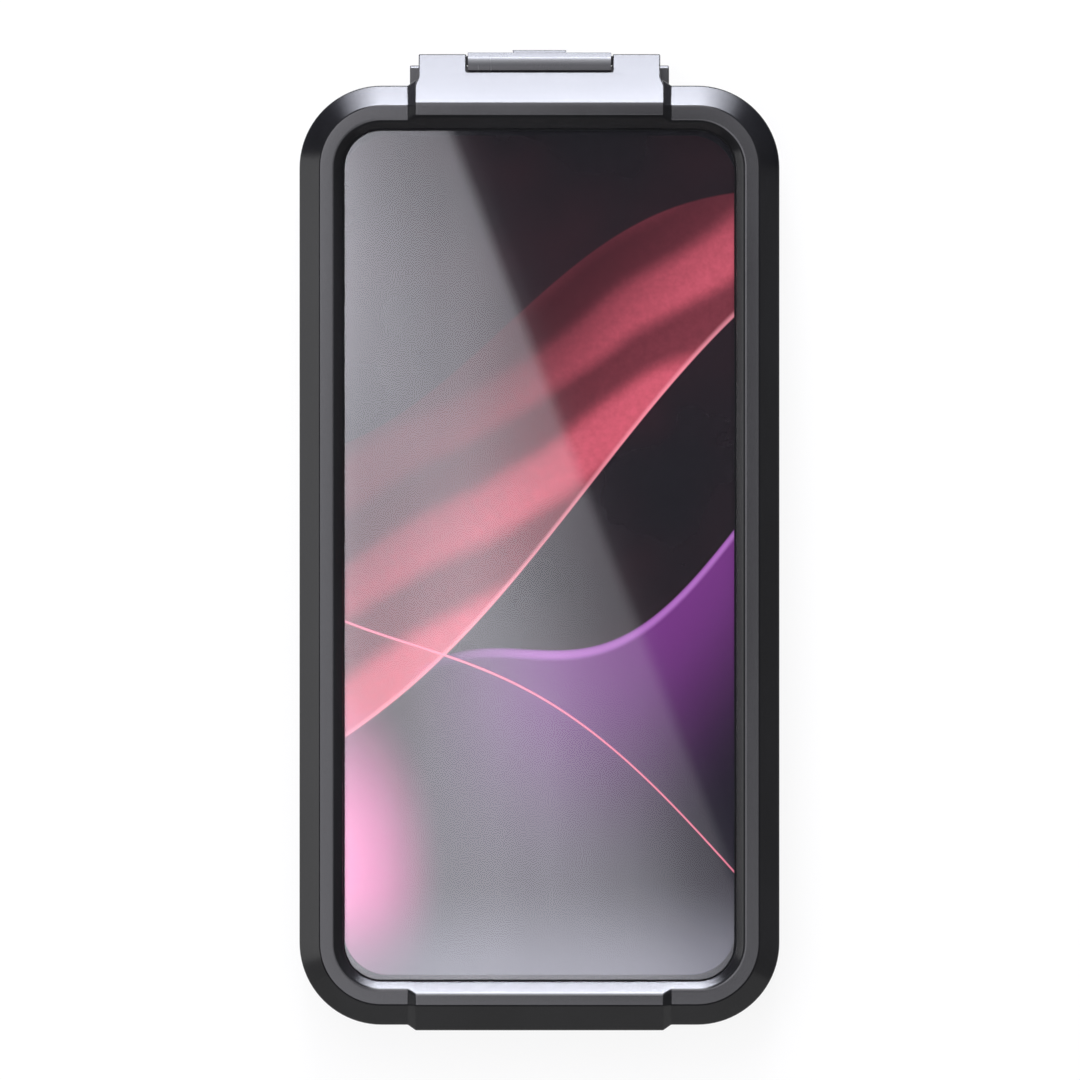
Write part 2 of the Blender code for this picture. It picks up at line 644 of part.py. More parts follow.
def latch_lever():
    """The lever: a barrel on the pin, an arm, and a sloped nose whose hook turns about the pin."""
    pivot = (LATCH_Y, LATCH_HEIGHT)
    inside = LEVER_OUTSIDE - LEVER_THICKNESS
    knee = LEVER_OUTSIDE - (LATCH_Y + LEVER_BARREL)
    slope_top = LEVER_OUTSIDE - NOSE_SLOPE - NOSE_ROUND * math.sin(math.radians(45))
    slope_foot = NOSE_HEIGHT - NOSE_ROUND * (1 - math.cos(math.radians(45))) - NOSE_SLOPE
    hook = []
    for step in range(CURVE_STEPS + 1):
        y = inside + (NOSE_FACE - inside) * step / CURVE_STEPS
        hook.append((y, round_about_latch(HOOK_RADIUS, y)))
    outline = [
        *hook,
        (NOSE_FACE, NOSE_HEIGHT),
        *arc((slope_top, NOSE_HEIGHT - NOSE_ROUND), NOSE_ROUND, 90, 45, CURVE_STEPS),
        (LEVER_OUTSIDE, slope_foot),
        *arc((LEVER_OUTSIDE - knee, LATCH_HEIGHT + knee), knee, 0, -90, CURVE_STEPS),
        *arc(pivot, LEVER_BARREL, 0, -285, 3 * CURVE_STEPS)[1:],
        (inside, LATCH_HEIGHT + LEVER_BARREL + LEVER_THICKNESS),
    ]
    lever = profile_block("latch_lever", outline, -LEVER_HALF, LEVER_HALF, parent=LATCH_PIVOT,
                          tool=False)
    tab_face = LEVER_OUTSIDE + TAB_PROUD
    tab_outline = [
        (LEVER_OUTSIDE - TAB_PROUD, TAB_LOW - 2 * TAB_PROUD),
        (tab_face, TAB_LOW),
        (tab_face, TAB_HIGH),
        (LEVER_OUTSIDE - TAB_PROUD, TAB_HIGH + 2 * TAB_PROUD),
    ]
    tab = profile_block("finger_tab", tab_outline, -TAB_HALF, TAB_HALF)
    for vert in tab.data.vertices:
        if vert.co.y < LEVER_OUTSIDE:
            vert.co.x += math.copysign(TAB_SLANT, vert.co.x)
    fuse(lever, tab)
    cut(lever, x_cylinder("lever_bore", LATCH_PIN_RADIUS + GAP, -LEVER_HALF - PAST,
                          LEVER_HALF + PAST, LATCH_Y, LATCH_HEIGHT))
    return dress(lever, latch_plastic())


def latch_pin():
    reach = BOSS_HALF - LATCH_PIN_INSET
    pin = x_cylinder("latch_pin", LATCH_PIN_RADIUS, -reach, reach, LATCH_Y, LATCH_HEIGHT, tool=False)
    return dress(pin, pin_steel())


def hinge_pin():
    reach = KNUCKLE_REACH - GAP
    pin = x_cylinder("hinge_pin", HINGE_PIN_RADIUS, -reach, reach, HINGE_Y, PARTING_HEIGHT, tool=False)
    return dress(pin, pin_steel())


def back_pad():
    """Foam sheet on the tray's floor, cut out round the camera window and the socket boss."""
    low = FLOOR_THICKNESS + GAP
    high = low + PAD_SHEET_THICKNESS
    sheet = rounded_block("back_pad", PAD_SHEET_HALF, low, high, PAD_SHEET_RADIUS, tool=False)
    ledge = CAMERA_LEDGE + 2 * GAP
    half = (CAMERA_HALF[0] + ledge, CAMERA_HALF[1] + ledge)
    cut(sheet, rounded_block("pad_camera_hole", half, low - PAST, high + PAST, CAMERA_RADIUS + ledge,
                             centre=CAMERA_CENTRE))
    cut(sheet, z_cylinder("pad_socket_hole", SOCKET_BOSS_RADIUS + GAP, low - PAST, high + PAST,
                          SOCKET_Y))
    return dress(sheet, foam())


def cushions():
    """Foam strips that hold phones of different sizes, stuck inside the tray's walls."""
    low = FLOOR_THICKNESS + GAP
    side_x = BAY_HALF[0] - GAP - SIDE_CUSHION_THICKNESS / 2
    end_y = BAY_HALF[1] - GAP - END_CUSHION_THICKNESS / 2
    side_half = (SIDE_CUSHION_THICKNESS / 2, SIDE_CUSHION_HALF)
    end_half = (END_CUSHION_HALF, END_CUSHION_THICKNESS / 2)
    places = {
        "side_cushion_left": (side_half, (-side_x, 0.0)),
        "side_cushion_right": (side_half, (side_x, 0.0)),
        "end_cushion_top": (end_half, (0.0, end_y)),
        "end_cushion_bottom": (end_half, (0.0, -end_y)),
    }
    soft = foam()
    for name, (half, centre) in places.items():
        strip = rounded_block(name, half, low, CUSHION_TOP, CUSHION_ROUND, top=CUSHION_ROUND / 2,
                              centre=centre, steps=3, tool=False)
        dress(strip, soft)


def camera_seal():
    low = CAMERA_LEDGE_HEIGHT + GAP
    half = (CAMERA_HALF[0] + CAMERA_LEDGE - GAP, CAMERA_HALF[1] + CAMERA_LEDGE - GAP)
    ring = rounded_ring("camera_seal", half, low, low + CAMERA_SEAL_THICKNESS,
                        CAMERA_RADIUS + CAMERA_LEDGE - GAP, CAMERA_LEDGE - GAP,
                        centre=CAMERA_CENTRE, tool=False)
    return dress(ring, seal_rubber())


def camera_window():
    low = CAMERA_LEDGE_HEIGHT + CAMERA_SEAL_THICKNESS + 2 * GAP
    half = (CAMERA_HALF[0] + CAMERA_LEDGE - GAP, CAMERA_HALF[1] + CAMERA_LEDGE - GAP)
    pane = rounded_block("camera_window", half, low, low + CAMERA_PANE_THICKNESS,
                         CAMERA_RADIUS + CAMERA_LEDGE - GAP, centre=CAMERA_CENTRE, tool=False)
    return dress(pane, clear_pane())


clear_scene()
PARTS = new_collection("universal_phone_case")
TOOLS = new_collection("cutters")
CASE_ORIGIN = empty_at("case_origin", (0.0, ORIGIN_SHIFT, 0.0))
LID_HINGE = empty_at("lid_hinge", (0.0, HINGE_Y, PARTING_HEIGHT), CASE_ORIGIN)
LATCH_PIVOT = empty_at("latch_pivot", (0.0, LATCH_Y, LATCH_HEIGHT), CASE_ORIGIN)
rear_shell()
front_frame()
window_film()
window_retainer()
display_card()
lid_seal()
latch_lever()
latch_pin()
hinge_pin()
back_pad()
cushions()
camera_seal()
camera_window()
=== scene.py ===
"""Looks of a hinged phone case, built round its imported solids.

Lengths are in metres. Every piece is drawn in case coordinates, whose zero is the middle of the two
shells, and is moved by CASE_SHIFT when it is finished, which puts it in the frame of the solids.
"""

import math

import bmesh
import bpy
from bpy.props import FloatProperty, FloatVectorProperty, IntProperty, PointerProperty
from mathutils import Matrix, Vector


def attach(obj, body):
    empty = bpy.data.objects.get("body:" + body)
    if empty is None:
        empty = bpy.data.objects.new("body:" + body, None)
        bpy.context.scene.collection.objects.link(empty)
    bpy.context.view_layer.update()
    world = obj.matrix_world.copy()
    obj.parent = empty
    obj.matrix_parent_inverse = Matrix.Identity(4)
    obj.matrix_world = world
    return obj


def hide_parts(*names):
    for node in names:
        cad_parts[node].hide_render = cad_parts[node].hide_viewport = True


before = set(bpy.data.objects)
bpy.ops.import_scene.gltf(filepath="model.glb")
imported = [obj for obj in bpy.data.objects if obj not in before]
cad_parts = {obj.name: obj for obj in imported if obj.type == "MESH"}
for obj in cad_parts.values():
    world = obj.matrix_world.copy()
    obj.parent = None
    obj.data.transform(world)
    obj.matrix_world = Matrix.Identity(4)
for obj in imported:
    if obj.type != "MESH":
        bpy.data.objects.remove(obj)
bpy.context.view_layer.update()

bl_info = {
    "name": "Hinged phone case",
    "version": (1, 0, 0),
    "blender": (4, 5, 0),
    "location": "3D View > Sidebar > Phone case",
    "description": "Builds the shells, latch, window, seals and foam of a hinged phone case",
    "category": "Object",
}

CASE_SHIFT = -0.00285
PAST = 0.002
GAP = 0.0003
SIDE_PLAY = 0.00006
SMALL_ROUND = 0.00012
MERGE = 2e-6
RING_MERGE = 1e-7
TURN_MERGE = 1e-8
ROD_STEPS = 48
DRUM_STEPS = 72

# Both shells
HALF_WIDTH = 0.045
HALF_LENGTH = 0.08805
CORNER_RADIUS = 0.0154
PARTING_HEIGHT = 0.0115
REAR_RIM = 0.01135
FRAME_FOOT = 0.01165
FRONT_HEIGHT = 0.0215
BAY_HALF = (0.0408, 0.0824)
BAY_RADIUS = 0.0105
FLOOR_THICKNESS = 0.003
FLOOR_ROUND = 0.00045
FLOOR_INSET = 0.004
TRAY_MATTER = 0.03
TRAY_CHAMFER = 0.0025

# Frame section, saddle pads and latch lug
FRONT_CHAMFER = 0.00375
FRONT_BAND = 0.00285
WINDOW_BEVEL = 0.0016
WINDOW_INSET = FRONT_CHAMFER + FRONT_BAND + WINDOW_BEVEL
LIP_FOOT = 0.0194
FILM_LEDGE = 0.0022
RETAINER_FOOT = 0.0173
# Flat near-black strip round the window: painted shade for the shadow gap under the lip
SHADOW_GASKET_FOOT = 0.01912
SHADOW_GASKET_TOP = 0.01938
SHADOW_GASKET_SHOWN = 0.0003
SHADOW_GASKET_EDGE = 0.00005
PAD_TOP_HALF = 0.0232
PAD_FLANK = 0.0015
PAD_PROUD = 0.00105
PAD_RISE = 0.00094
PAD_HEIGHT = FRONT_HEIGHT + PAD_RISE
LUG_START = HALF_LENGTH - 0.00325
LUG_TIP = HALF_LENGTH + 0.00595
LUG_LAND = 0.0008
LUG_HALF = 0.02335
LUG_TIP_HALF = 0.02266
LUG_STEP = 0.0016
LUG_SKIN = 0.0018
LUG_RIB = 0.0014
LUG_ROUND = 0.00022
NOTCH_HALF = 0.01375
NOTCH_FACE = HALF_LENGTH + 0.00257
CATCH_FACE = HALF_LENGTH + 0.00365
CATCH_STEPS = 14
BARREL_TURN = -285

# Latch lever and its boss
LATCH_Y = HALF_LENGTH + 0.00185
LATCH_HEIGHT = 0.0044
CATCH_RADIUS = 0.00875
HOOK_RADIUS = CATCH_RADIUS + GAP
LATCH_PIN_RADIUS = 0.0009
LEVER_BARREL = 0.0019
LEVER_THICKNESS = 0.0022
LEVER_HALF = NOTCH_HALF - GAP
BOSS_SLOT_HALF = LEVER_HALF + SIDE_PLAY
NOSE_HEIGHT = 0.0162
NOSE_SLOPE = 0.0008
NOSE_ROUND = 0.0031
NOSE_FACE = NOTCH_FACE + GAP
LEVER_OUTSIDE = 0.0943
SHOULDER_HALF = LEVER_HALF + 0.0009
SHOULDER_LOW = 0.0064
SHOULDER_HIGH = 0.0112
SHOULDER_INSET = 0.0006
TAB_PROUD = 0.0005
TAB_HALF = 0.00506
TAB_SLANT = 0.00024
TAB_LOW = 0.0068
TAB_HIGH = 0.0098
BOSS_HALF = 0.0243
BOSS_ROOT = HALF_LENGTH - 0.0028
BOSS_TIP = HALF_LENGTH + 0.00385
BOSS_FOOT = 0.0012
BOSS_SLOPE = 0.0026
BOSS_EDGE = 0.0005
BOSS_ROUND = 0.00018
AXLE_INSET = 0.0006

# Hinge under the lower pad
HINGE_Y = -0.0872
HINGE_PIN_RADIUS = 0.0008
KNUCKLE_RADIUS = 0.0019
KNUCKLE_REACH = 0.0225
KNUCKLE_SPLITS = (0.005, 0.0153)
HINGE_RELIEF = 0.0022
HINGE_RELIEF_INSET = 0.0004
KNUCKLE_STEPS = 60

# Seal groove, camera window and twist-lock socket
GROOVE_LAND = 0.0005
GROOVE_WIDTH = 0.0016
GROOVE_DEPTH = 0.0013
BEAD_EDGE = 0.0001
CAMERA_CENTRE = (0.02, 0.052)
CAMERA_HALF = (0.013, 0.017)
CAMERA_RADIUS = 0.005
CAMERA_LEDGE = 0.0022
CAMERA_LEDGE_HEIGHT = 0.0008
CAMERA_FLARE = 0.0006
CAMERA_STEPS = 14
SOCKET_Y = -0.012
SOCKET_RADIUS = 0.014
SOCKET_MOUTH = 0.0112
SOCKET_DEPTH = 0.0034
SOCKET_LUG_THICKNESS = 0.0013
SOCKET_SLOT_HALF = 0.0048
SOCKET_SLOT_RADIUS = 0.0008
SOCKET_SLOT_STEPS = 6
SOCKET_BOSS_RADIUS = 0.017
SOCKET_BOSS_RISE = 0.0016

# Foam sheet and strips
SHEET_HALF = (0.036, 0.076)
SHEET_THICKNESS = 0.002
SHEET_RADIUS = 0.008
SHEET_EDGE = 0.0007
STRIP_TOP = 0.0105
RIB_SINK = 0.02
RIB_INSET = 0.001
FOAM_SHARP = 50.0
FOAM_STEPS = 8
# How far in the sheet's swell is drawn, as shares of its narrow half
SWELL_PLACES = (0.16, 0.34, 0.55, 0.8)
# Name, node, side, middle, half thickness and half length of each strip
STRIPS = (
    ("side_strip_left", "side_cushion_left", (-1, 0), 0.0395, 0.001, 0.055),
    ("side_strip_right", "side_cushion_right", (1, 0), 0.0395, 0.001, 0.055),
    ("end_strip_top", "end_cushion_top", (0, 1), 0.0806, 0.0015, 0.027),
    ("end_strip_bottom", "end_cushion_bottom", (0, -1), 0.0806, 0.0015, 0.027),
)

# Picture on the card, in thousandths of a metre
PICTURE_HALF = (36.75, 78.68)
PICTURE_RADIUS = 8.4
PICTURE_FADE = 0.04
BOARD_FADE = 0.01

# Stage
FLOOR_HALF = 3.0
FLOOR_LEVEL = -0.0002
# Foot and height of the upright panels, then the corners of the others
END_LINE = [(0.95, 1.1, 0.26), (-0.95, 1.1, 0.26)]
SIDE_LINE = [(-0.9, -0.3, 0.4), (-0.9, 0.26, 0.4)]
SOFT_CARD = [(-0.24, -0.26, 0.5), (0.14, -0.26, 0.5), (0.14, 0.24, 0.5), (-0.24, 0.24, 0.5)]
UPPER_PANEL = [(0.22, 1.1, 0.26), (-0.22, 1.1, 0.26), (-0.16, 0.42, 1.25), (0.16, 0.42, 1.25)]
UPPER_SHARE = 0.3
CAMERA_X = 0.0001
CAMERA_CLIP = (0.1, 50.0)
SENSOR_WIDTH = 36.0
WINDOW_LEVEL = 0.0185
# Points of each dark strip with the strip's height there, then its tone
DARK_STRIPS = {
    "right_strip": ([(0.035, 0.140, 0.010), (0.070, 0.125, 0.021), (0.095, 0.100, 0.021),
                     (0.095, 0.070, 0.021)], 0.0),
    "far_right_strip": ([(0.095, 0.070, 0.034), (0.095, -0.110, 0.034)], 0.33),
    "low_strip": ([(0.095, -0.110, 0.034), (0.050, -0.140, 0.034), (-0.060, -0.140, 0.034),
                   (-0.095, -0.115, 0.034)], 0.72),
    "left_strip": ([(-0.095, 0.080, 0.021), (-0.095, 0.100, 0.021), (-0.070, 0.125, 0.021),
                    (-0.035, 0.140, 0.010)], 0.0),
}


def length(name, text, value):
    return FloatProperty(name=name, description=text, default=value, min=0.0, subtype="DISTANCE",
                         unit="LENGTH", precision=5)


def share(name, text, value):
    return FloatProperty(name=name, description=text, default=value, min=0.0, max=1.0,
                         subtype="FACTOR")


def colour(name, text, value):
    return FloatVectorProperty(name=name, description=text, default=value, min=0.0, max=1.0,
                               size=3, subtype="COLOR")


def amount(name, text, value):
    return FloatProperty(name=name, description=text, default=value, min=0.0)


class ShellSettings(bpy.types.PropertyGroup):
    """Edges and plastic of the frame and the tray."""

    edge: length("Edge radius", "Rounding of the outer moulded edges", 0.00028)
    inner_edge: length("Inner edge radius", "Rounding of the edges round the window", 0.0005)
    corner_steps: IntProperty(name="Corner steps", description="Facets in each rounded corner",
                              default=22, min=4, max=48)
    tint: colour("Plastic", "Colour of the moulded shells", (0.0048, 0.0048, 0.0056))
    roughness: share("Roughness", "How matt the shells are", 0.20)


class LatchSettings(bpy.types.PropertyGroup):
    """Edges and plastic of the latch lever."""

    edge: length("Edge radius", "Rounding of the lever's ends", 0.0002)
    arc_steps: IntProperty(name="Arc steps", description="Facets in the lever's nose",
                           default=18, min=6, max=48)
    tint: colour("Plastic", "Colour of the lever", (0.0075, 0.0075, 0.0086))
    roughness: share("Roughness", "How matt the lever is", 0.25)


class WindowSettings(bpy.types.PropertyGroup):
    """Clear film and the printed card behind it."""

    film_tint: colour("Film", "Tint of the clear film", (0.94, 0.95, 0.97))
    film_roughness: share("Film roughness", "How matt the clear film is", 0.003)
    card_ground: colour("Card ground", "Darkest colour of the print", (0.010, 0.009, 0.011))
    card_rose: colour("Rose", "Warm band of the print", (0.50, 0.085, 0.115))
    card_violet: colour("Violet", "Cool band of the print", (0.13, 0.028, 0.150))
    card_pink: colour("Pink", "Glow of the print", (0.70, 0.20, 0.38))
    # The margin is near-black print, made as dark as the shade under the frame's lip: partly
    # painted shade
    card_margin_and_shade: colour("Card margin", "Plain edge of the card", (0.010, 0.010, 0.012))


class FoamSettings(bpy.types.PropertyGroup):
    """Foam sheet and ribbed strips that hold the phone."""

    tint: colour("Foam", "Colour of the foam", (0.040, 0.040, 0.045))
    crown: length("Crown", "How far the sheet swells in its middle", 0.00025)
    rib_radius: length("Rib radius", "Radius of the ribs on the strips", 0.0008)
    rib_pitch: length("Rib pitch", "Distance from rib to rib", 0.0033)


class MetalSettings(bpy.types.PropertyGroup):
    """Pins and rubber."""

    steel_tint: colour("Steel", "Colour of the pins", (0.60, 0.60, 0.62))
    pin_edge: length("Pin chamfer", "Chamfer on the ends of the pins", 0.0002)
    rubber_tint: colour("Rubber", "Colour of the seals", (0.014, 0.014, 0.015))


class StageSettings(bpy.types.PropertyGroup):
    """Floor, lights and camera."""

    camera_height: length("Camera height", "Height of the camera over the case", 8.0)
    view_width: length("View width", "Width of the picture at the height of the window", 0.2025)
    sky: amount("Sky", "Strength of the plain light from all round", 0.20)
    end_panel: amount("End panel", "Strength of the panel beyond the latch end", 47.5)
    side_panel: amount("Side panel", "Strength of the panel at the left", 2.1)
    soft_card: amount("Soft card", "Strength of the card over the case", 3.7)


def settings(name):
    return getattr(bpy.context.scene, name)


# Mesh helpers


def store(name, shape):
    """Link a bmesh as a new object and free it."""
    mesh = bpy.data.meshes.new(name)
    shape.to_mesh(mesh)
    shape.free()
    item = bpy.data.objects.new(name, mesh)
    bpy.context.scene.collection.objects.link(item)
    return item


def baked(item):
    """Turn an object with its modifiers into a plain mesh."""
    bpy.context.view_layer.update()
    evaluated = item.evaluated_get(bpy.context.evaluated_depsgraph_get())
    mesh = bpy.data.meshes.new_from_object(evaluated)
    old = item.data
    item.modifiers.clear()
    item.data = mesh
    bpy.data.meshes.remove(old)
    return item


def carve(target, operation, tools):
    """Join tools to a solid or cut them out of it, one after another."""
    for tool in tools:
        step = target.modifiers.new(tool.name, "BOOLEAN")
        step.operation = operation
        step.solver = "EXACT"
        step.object = tool
    baked(target)
    for tool in tools:
        mesh = tool.data
        bpy.data.objects.remove(tool, do_unlink=True)
        bpy.data.meshes.remove(mesh)
    return target


def fuse(target, *tools):
    return carve(target, "UNION", tools)


def cut(target, *tools):
    return carve(target, "DIFFERENCE", tools)


def soften(item, width):
    """Round every edge that is sharper than 30 degrees."""
    step = item.modifiers.new("round", "BEVEL")
    step.width = width
    step.segments = 3
    step.limit_method = "ANGLE"
    step.angle_limit = math.radians(30)
    step.miter_outer = "MITER_ARC"
    return baked(item)


def finish(item, look, body, replaced=(), sharp=34.0):
    """Merge, shade and place a piece, then hang it on its body."""
    shape = bmesh.new()
    shape.from_mesh(item.data)
    bmesh.ops.remove_doubles(shape, verts=shape.verts, dist=MERGE)
    bmesh.ops.dissolve_degenerate(shape, edges=shape.edges, dist=MERGE)
    slits = [edge for edge in shape.edges if edge.is_boundary]
    bmesh.ops.holes_fill(shape, edges=slits, sides=8)
    bmesh.ops.recalc_face_normals(shape, faces=shape.faces)
    shape.to_mesh(item.data)
    shape.free()
    item.data.transform(Matrix.Translation((0.0, CASE_SHIFT, 0.0)))
    item.data.materials.clear()
    item.data.materials.append(look)
    item.data.polygons.foreach_set("material_index", [0] * len(item.data.polygons))
    item.data.shade_smooth()
    item.data.set_sharp_from_angle(angle=math.radians(sharp))
    weigh = item.modifiers.new("weigh", "WEIGHTED_NORMAL")
    weigh.keep_sharp = True
    weigh.weight = 60
    baked(item)
    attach(item, body)
    if replaced:
        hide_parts(*replaced)
    return item


def skin(shape, near, far, closed=True):
    """Faces between two rows of points."""
    count = len(near)
    for index in range(count if closed else count - 1):
        after = (index + 1) % count
        shape.faces.new((near[index], near[after], far[after], far[index]))


def close(name, shape, caps=(), merge=0.0):
    """Cap a skin, turn its faces outwards and store it."""
    for cap in caps:
        shape.faces.new(cap)
    if merge:
        bmesh.ops.remove_doubles(shape, verts=shape.verts, dist=merge)
    bmesh.ops.recalc_face_normals(shape, faces=shape.faces)
    return store(name, shape)


def ramp(reach, ease):
    """0 below 0 and 1 above 1, with both bends rounded over the ease."""
    if reach <= -ease:
        return 0.0
    if reach < ease:
        return (reach + ease) ** 2 / (4 * ease)
    if reach <= 1 - ease:
        return reach
    if reach < 1 + ease:
        return 1 - (1 + ease - reach) ** 2 / (4 * ease)
    return 1.0


def stations(steps, marks=()):
    """Places round a rounded rectangle: corner angles, and marks along both of its ends."""
    places = []
    for quarter in range(4):
        for step in range(steps + 1):
            places.append(("corner", 90.0 * (quarter + step / steps), quarter))
        if quarter in (0, 2):
            side = 1 if quarter == 0 else -1
            for mark in sorted(marks, reverse=side > 0):
                places.append(("end", mark, side))
    return places


def station_point(place, half_x, half_y, radius):
    kind, value, extra = place
    if kind == "end":
        return value, extra * half_y
    side_x = 1 if extra in (0, 3) else -1
    side_y = 1 if extra in (0, 1) else -1
    angle = math.radians(value)
    return (side_x * (half_x - radius) + radius * math.cos(angle),
            side_y * (half_y - radius) + radius * math.sin(angle))


def soft_path(corners, steps=4, closed=True):
    """Points along a path whose corners, given with a cut each, are rounded by curves."""
    points = []
    count = len(corners)
    for index, (corner, reach) in enumerate(corners):
        here = Vector(corner)
        if reach <= 0.0 or (not closed and index in (0, count - 1)):
            points.append(here)
            continue
        before = Vector(corners[index - 1][0])
        after = Vector(corners[(index + 1) % count][0])
        ends = []
        for other in (before, after):
            span = math.hypot(other[0] - here[0], other[3] - here[3])
            ends.append(here + (other - here) * min(reach / span, 0.45))
        for step in range(steps + 1):
            along = step / steps
            points.append(ends[0] * (1 - along) ** 2 + here * (2 * along * (1 - along))
                          + ends[1] * along ** 2)
    return points


def ring_solid(name, path, places, closed=True, centre=(0.0, 0.0), pad=None):
    """Walls through rounded rectangles; a path that isn't closed is capped at both ends."""
    shape = bmesh.new()
    rows = []
    for half_x, half_y, radius, height, move_y, move_z in path:
        row = []
        for place in places:
            x, y = station_point(place, half_x, half_y, radius)
            part = pad(place) if pad else 0.0
            y += math.copysign(move_y * part, y)
            row.append(shape.verts.new((x + centre[0], y + centre[1], height + move_z * part)))
        rows.append(row)
    for low, high in zip(rows, rows[1:] + rows[:1] if closed else rows[1:]):
        skin(shape, low, high)
    return close(name, shape, () if closed else (rows[0], rows[-1]), RING_MERGE)


def level(half_x, half_y, radius, height, reach=0.0, move=(0.0, 0.0)):
    """A rounded rectangle at a height, with how far it moves on a pad and its own rounding."""
    return (half_x, half_y, radius, height, *move), reach


def case_level(inset, height, reach=0.0, move=(0.0, 0.0)):
    """The outer shape of the shells, drawn in by the inset."""
    return level(HALF_WIDTH - inset, HALF_LENGTH - inset, CORNER_RADIUS - inset, height, reach,
                 move)


def bay_level(grow, height, reach=0.0):
    """The bay's opening, made wider all round."""
    return level(BAY_HALF[0] + grow, BAY_HALF[1] + grow, BAY_RADIUS + grow, height, reach)


def rounded_block(name, half, low, high, radius, centre=(0.0, 0.0), steps=12):
    path = [level(*half, radius, low)[0], level(*half, radius, high)[0]]
    return ring_solid(name, path, stations(steps), closed=False, centre=centre)


def box_outline(near, far, low, high):
    return [(near, low), (far, low), (far, high), (near, high)]


def bar(name, outline, start, end, taper=None):
    """A flat outline of (y, z) points, drawn out along X."""
    shape = bmesh.new()
    rows = []
    for x in (start, end):
        row = []
        for y, z in outline:
            shift = taper(y) if taper else 0.0
            row.append(shape.verts.new((x - math.copysign(shift, x), y, z)))
        rows.append(row)
    skin(shape, *rows)
    return close(name, shape, rows)


def turned(name, outline, steps):
    """A closed (radius, height) outline turned about the Z axis."""
    shape = bmesh.new()
    rows = []
    for step in range(steps):
        angle = 2 * math.pi * step / steps
        rows.append([shape.verts.new((radius * math.cos(angle), radius * math.sin(angle), height))
                     for radius, height in outline])
    for row, after in zip(rows, rows[1:] + rows[:1]):
        for low in range(len(outline) - 1):
            shape.faces.new((row[low], after[low], after[low + 1], row[low + 1]))
    return close(name, shape, merge=TURN_MERGE)


def rod(name, radius, start, end, y, z, edge=0.0, steps=ROD_STEPS):
    """A round bar along X, with a chamfer at both ends."""
    outline = [(0.0, start), (radius - edge, start), (radius, start + edge), (radius, end - edge),
               (radius - edge, end), (0.0, end)]
    item = turned(name, outline, steps)
    item.data.transform(Matrix.Translation((0.0, y, z)) @ Matrix.Rotation(math.pi / 2, 4, "Y"))
    return item


def hinge_rod(name, radius, start, end, edge=0.0, steps=ROD_STEPS):
    return rod(name, radius, start, end, HINGE_Y, PARTING_HEIGHT, edge, steps)


def latch_rod(name, radius, reach, edge=0.0):
    return rod(name, radius, -reach, reach, LATCH_Y, LATCH_HEIGHT, edge)


def drum(name, radius, low, high, y, edge=0.0):
    """An upright round block on the middle line."""
    outline = [(0.0, low), (radius, low), (radius, high - edge), (radius - edge, high), (0.0, high)]
    item = turned(name, outline, DRUM_STEPS)
    item.data.transform(Matrix.Translation((0.0, y, 0.0)))
    return item


def arc(centre, radius, start, end, steps):
    points = []
    for step in range(steps + 1):
        angle = math.radians(start + (end - start) * step / steps)
        points.append((centre[0] + radius * math.cos(angle), centre[1] + radius * math.sin(angle)))
    return points


def latch_curve(radius, start, end, steps):
    """Points of an arc about the latch pin, from one y to another."""
    points = []
    for step in range(steps + 1):
        y = start + (end - start) * step / steps
        points.append((y, LATCH_HEIGHT + math.sqrt(radius ** 2 - (y - LATCH_Y) ** 2)))
    return points


# Finishes


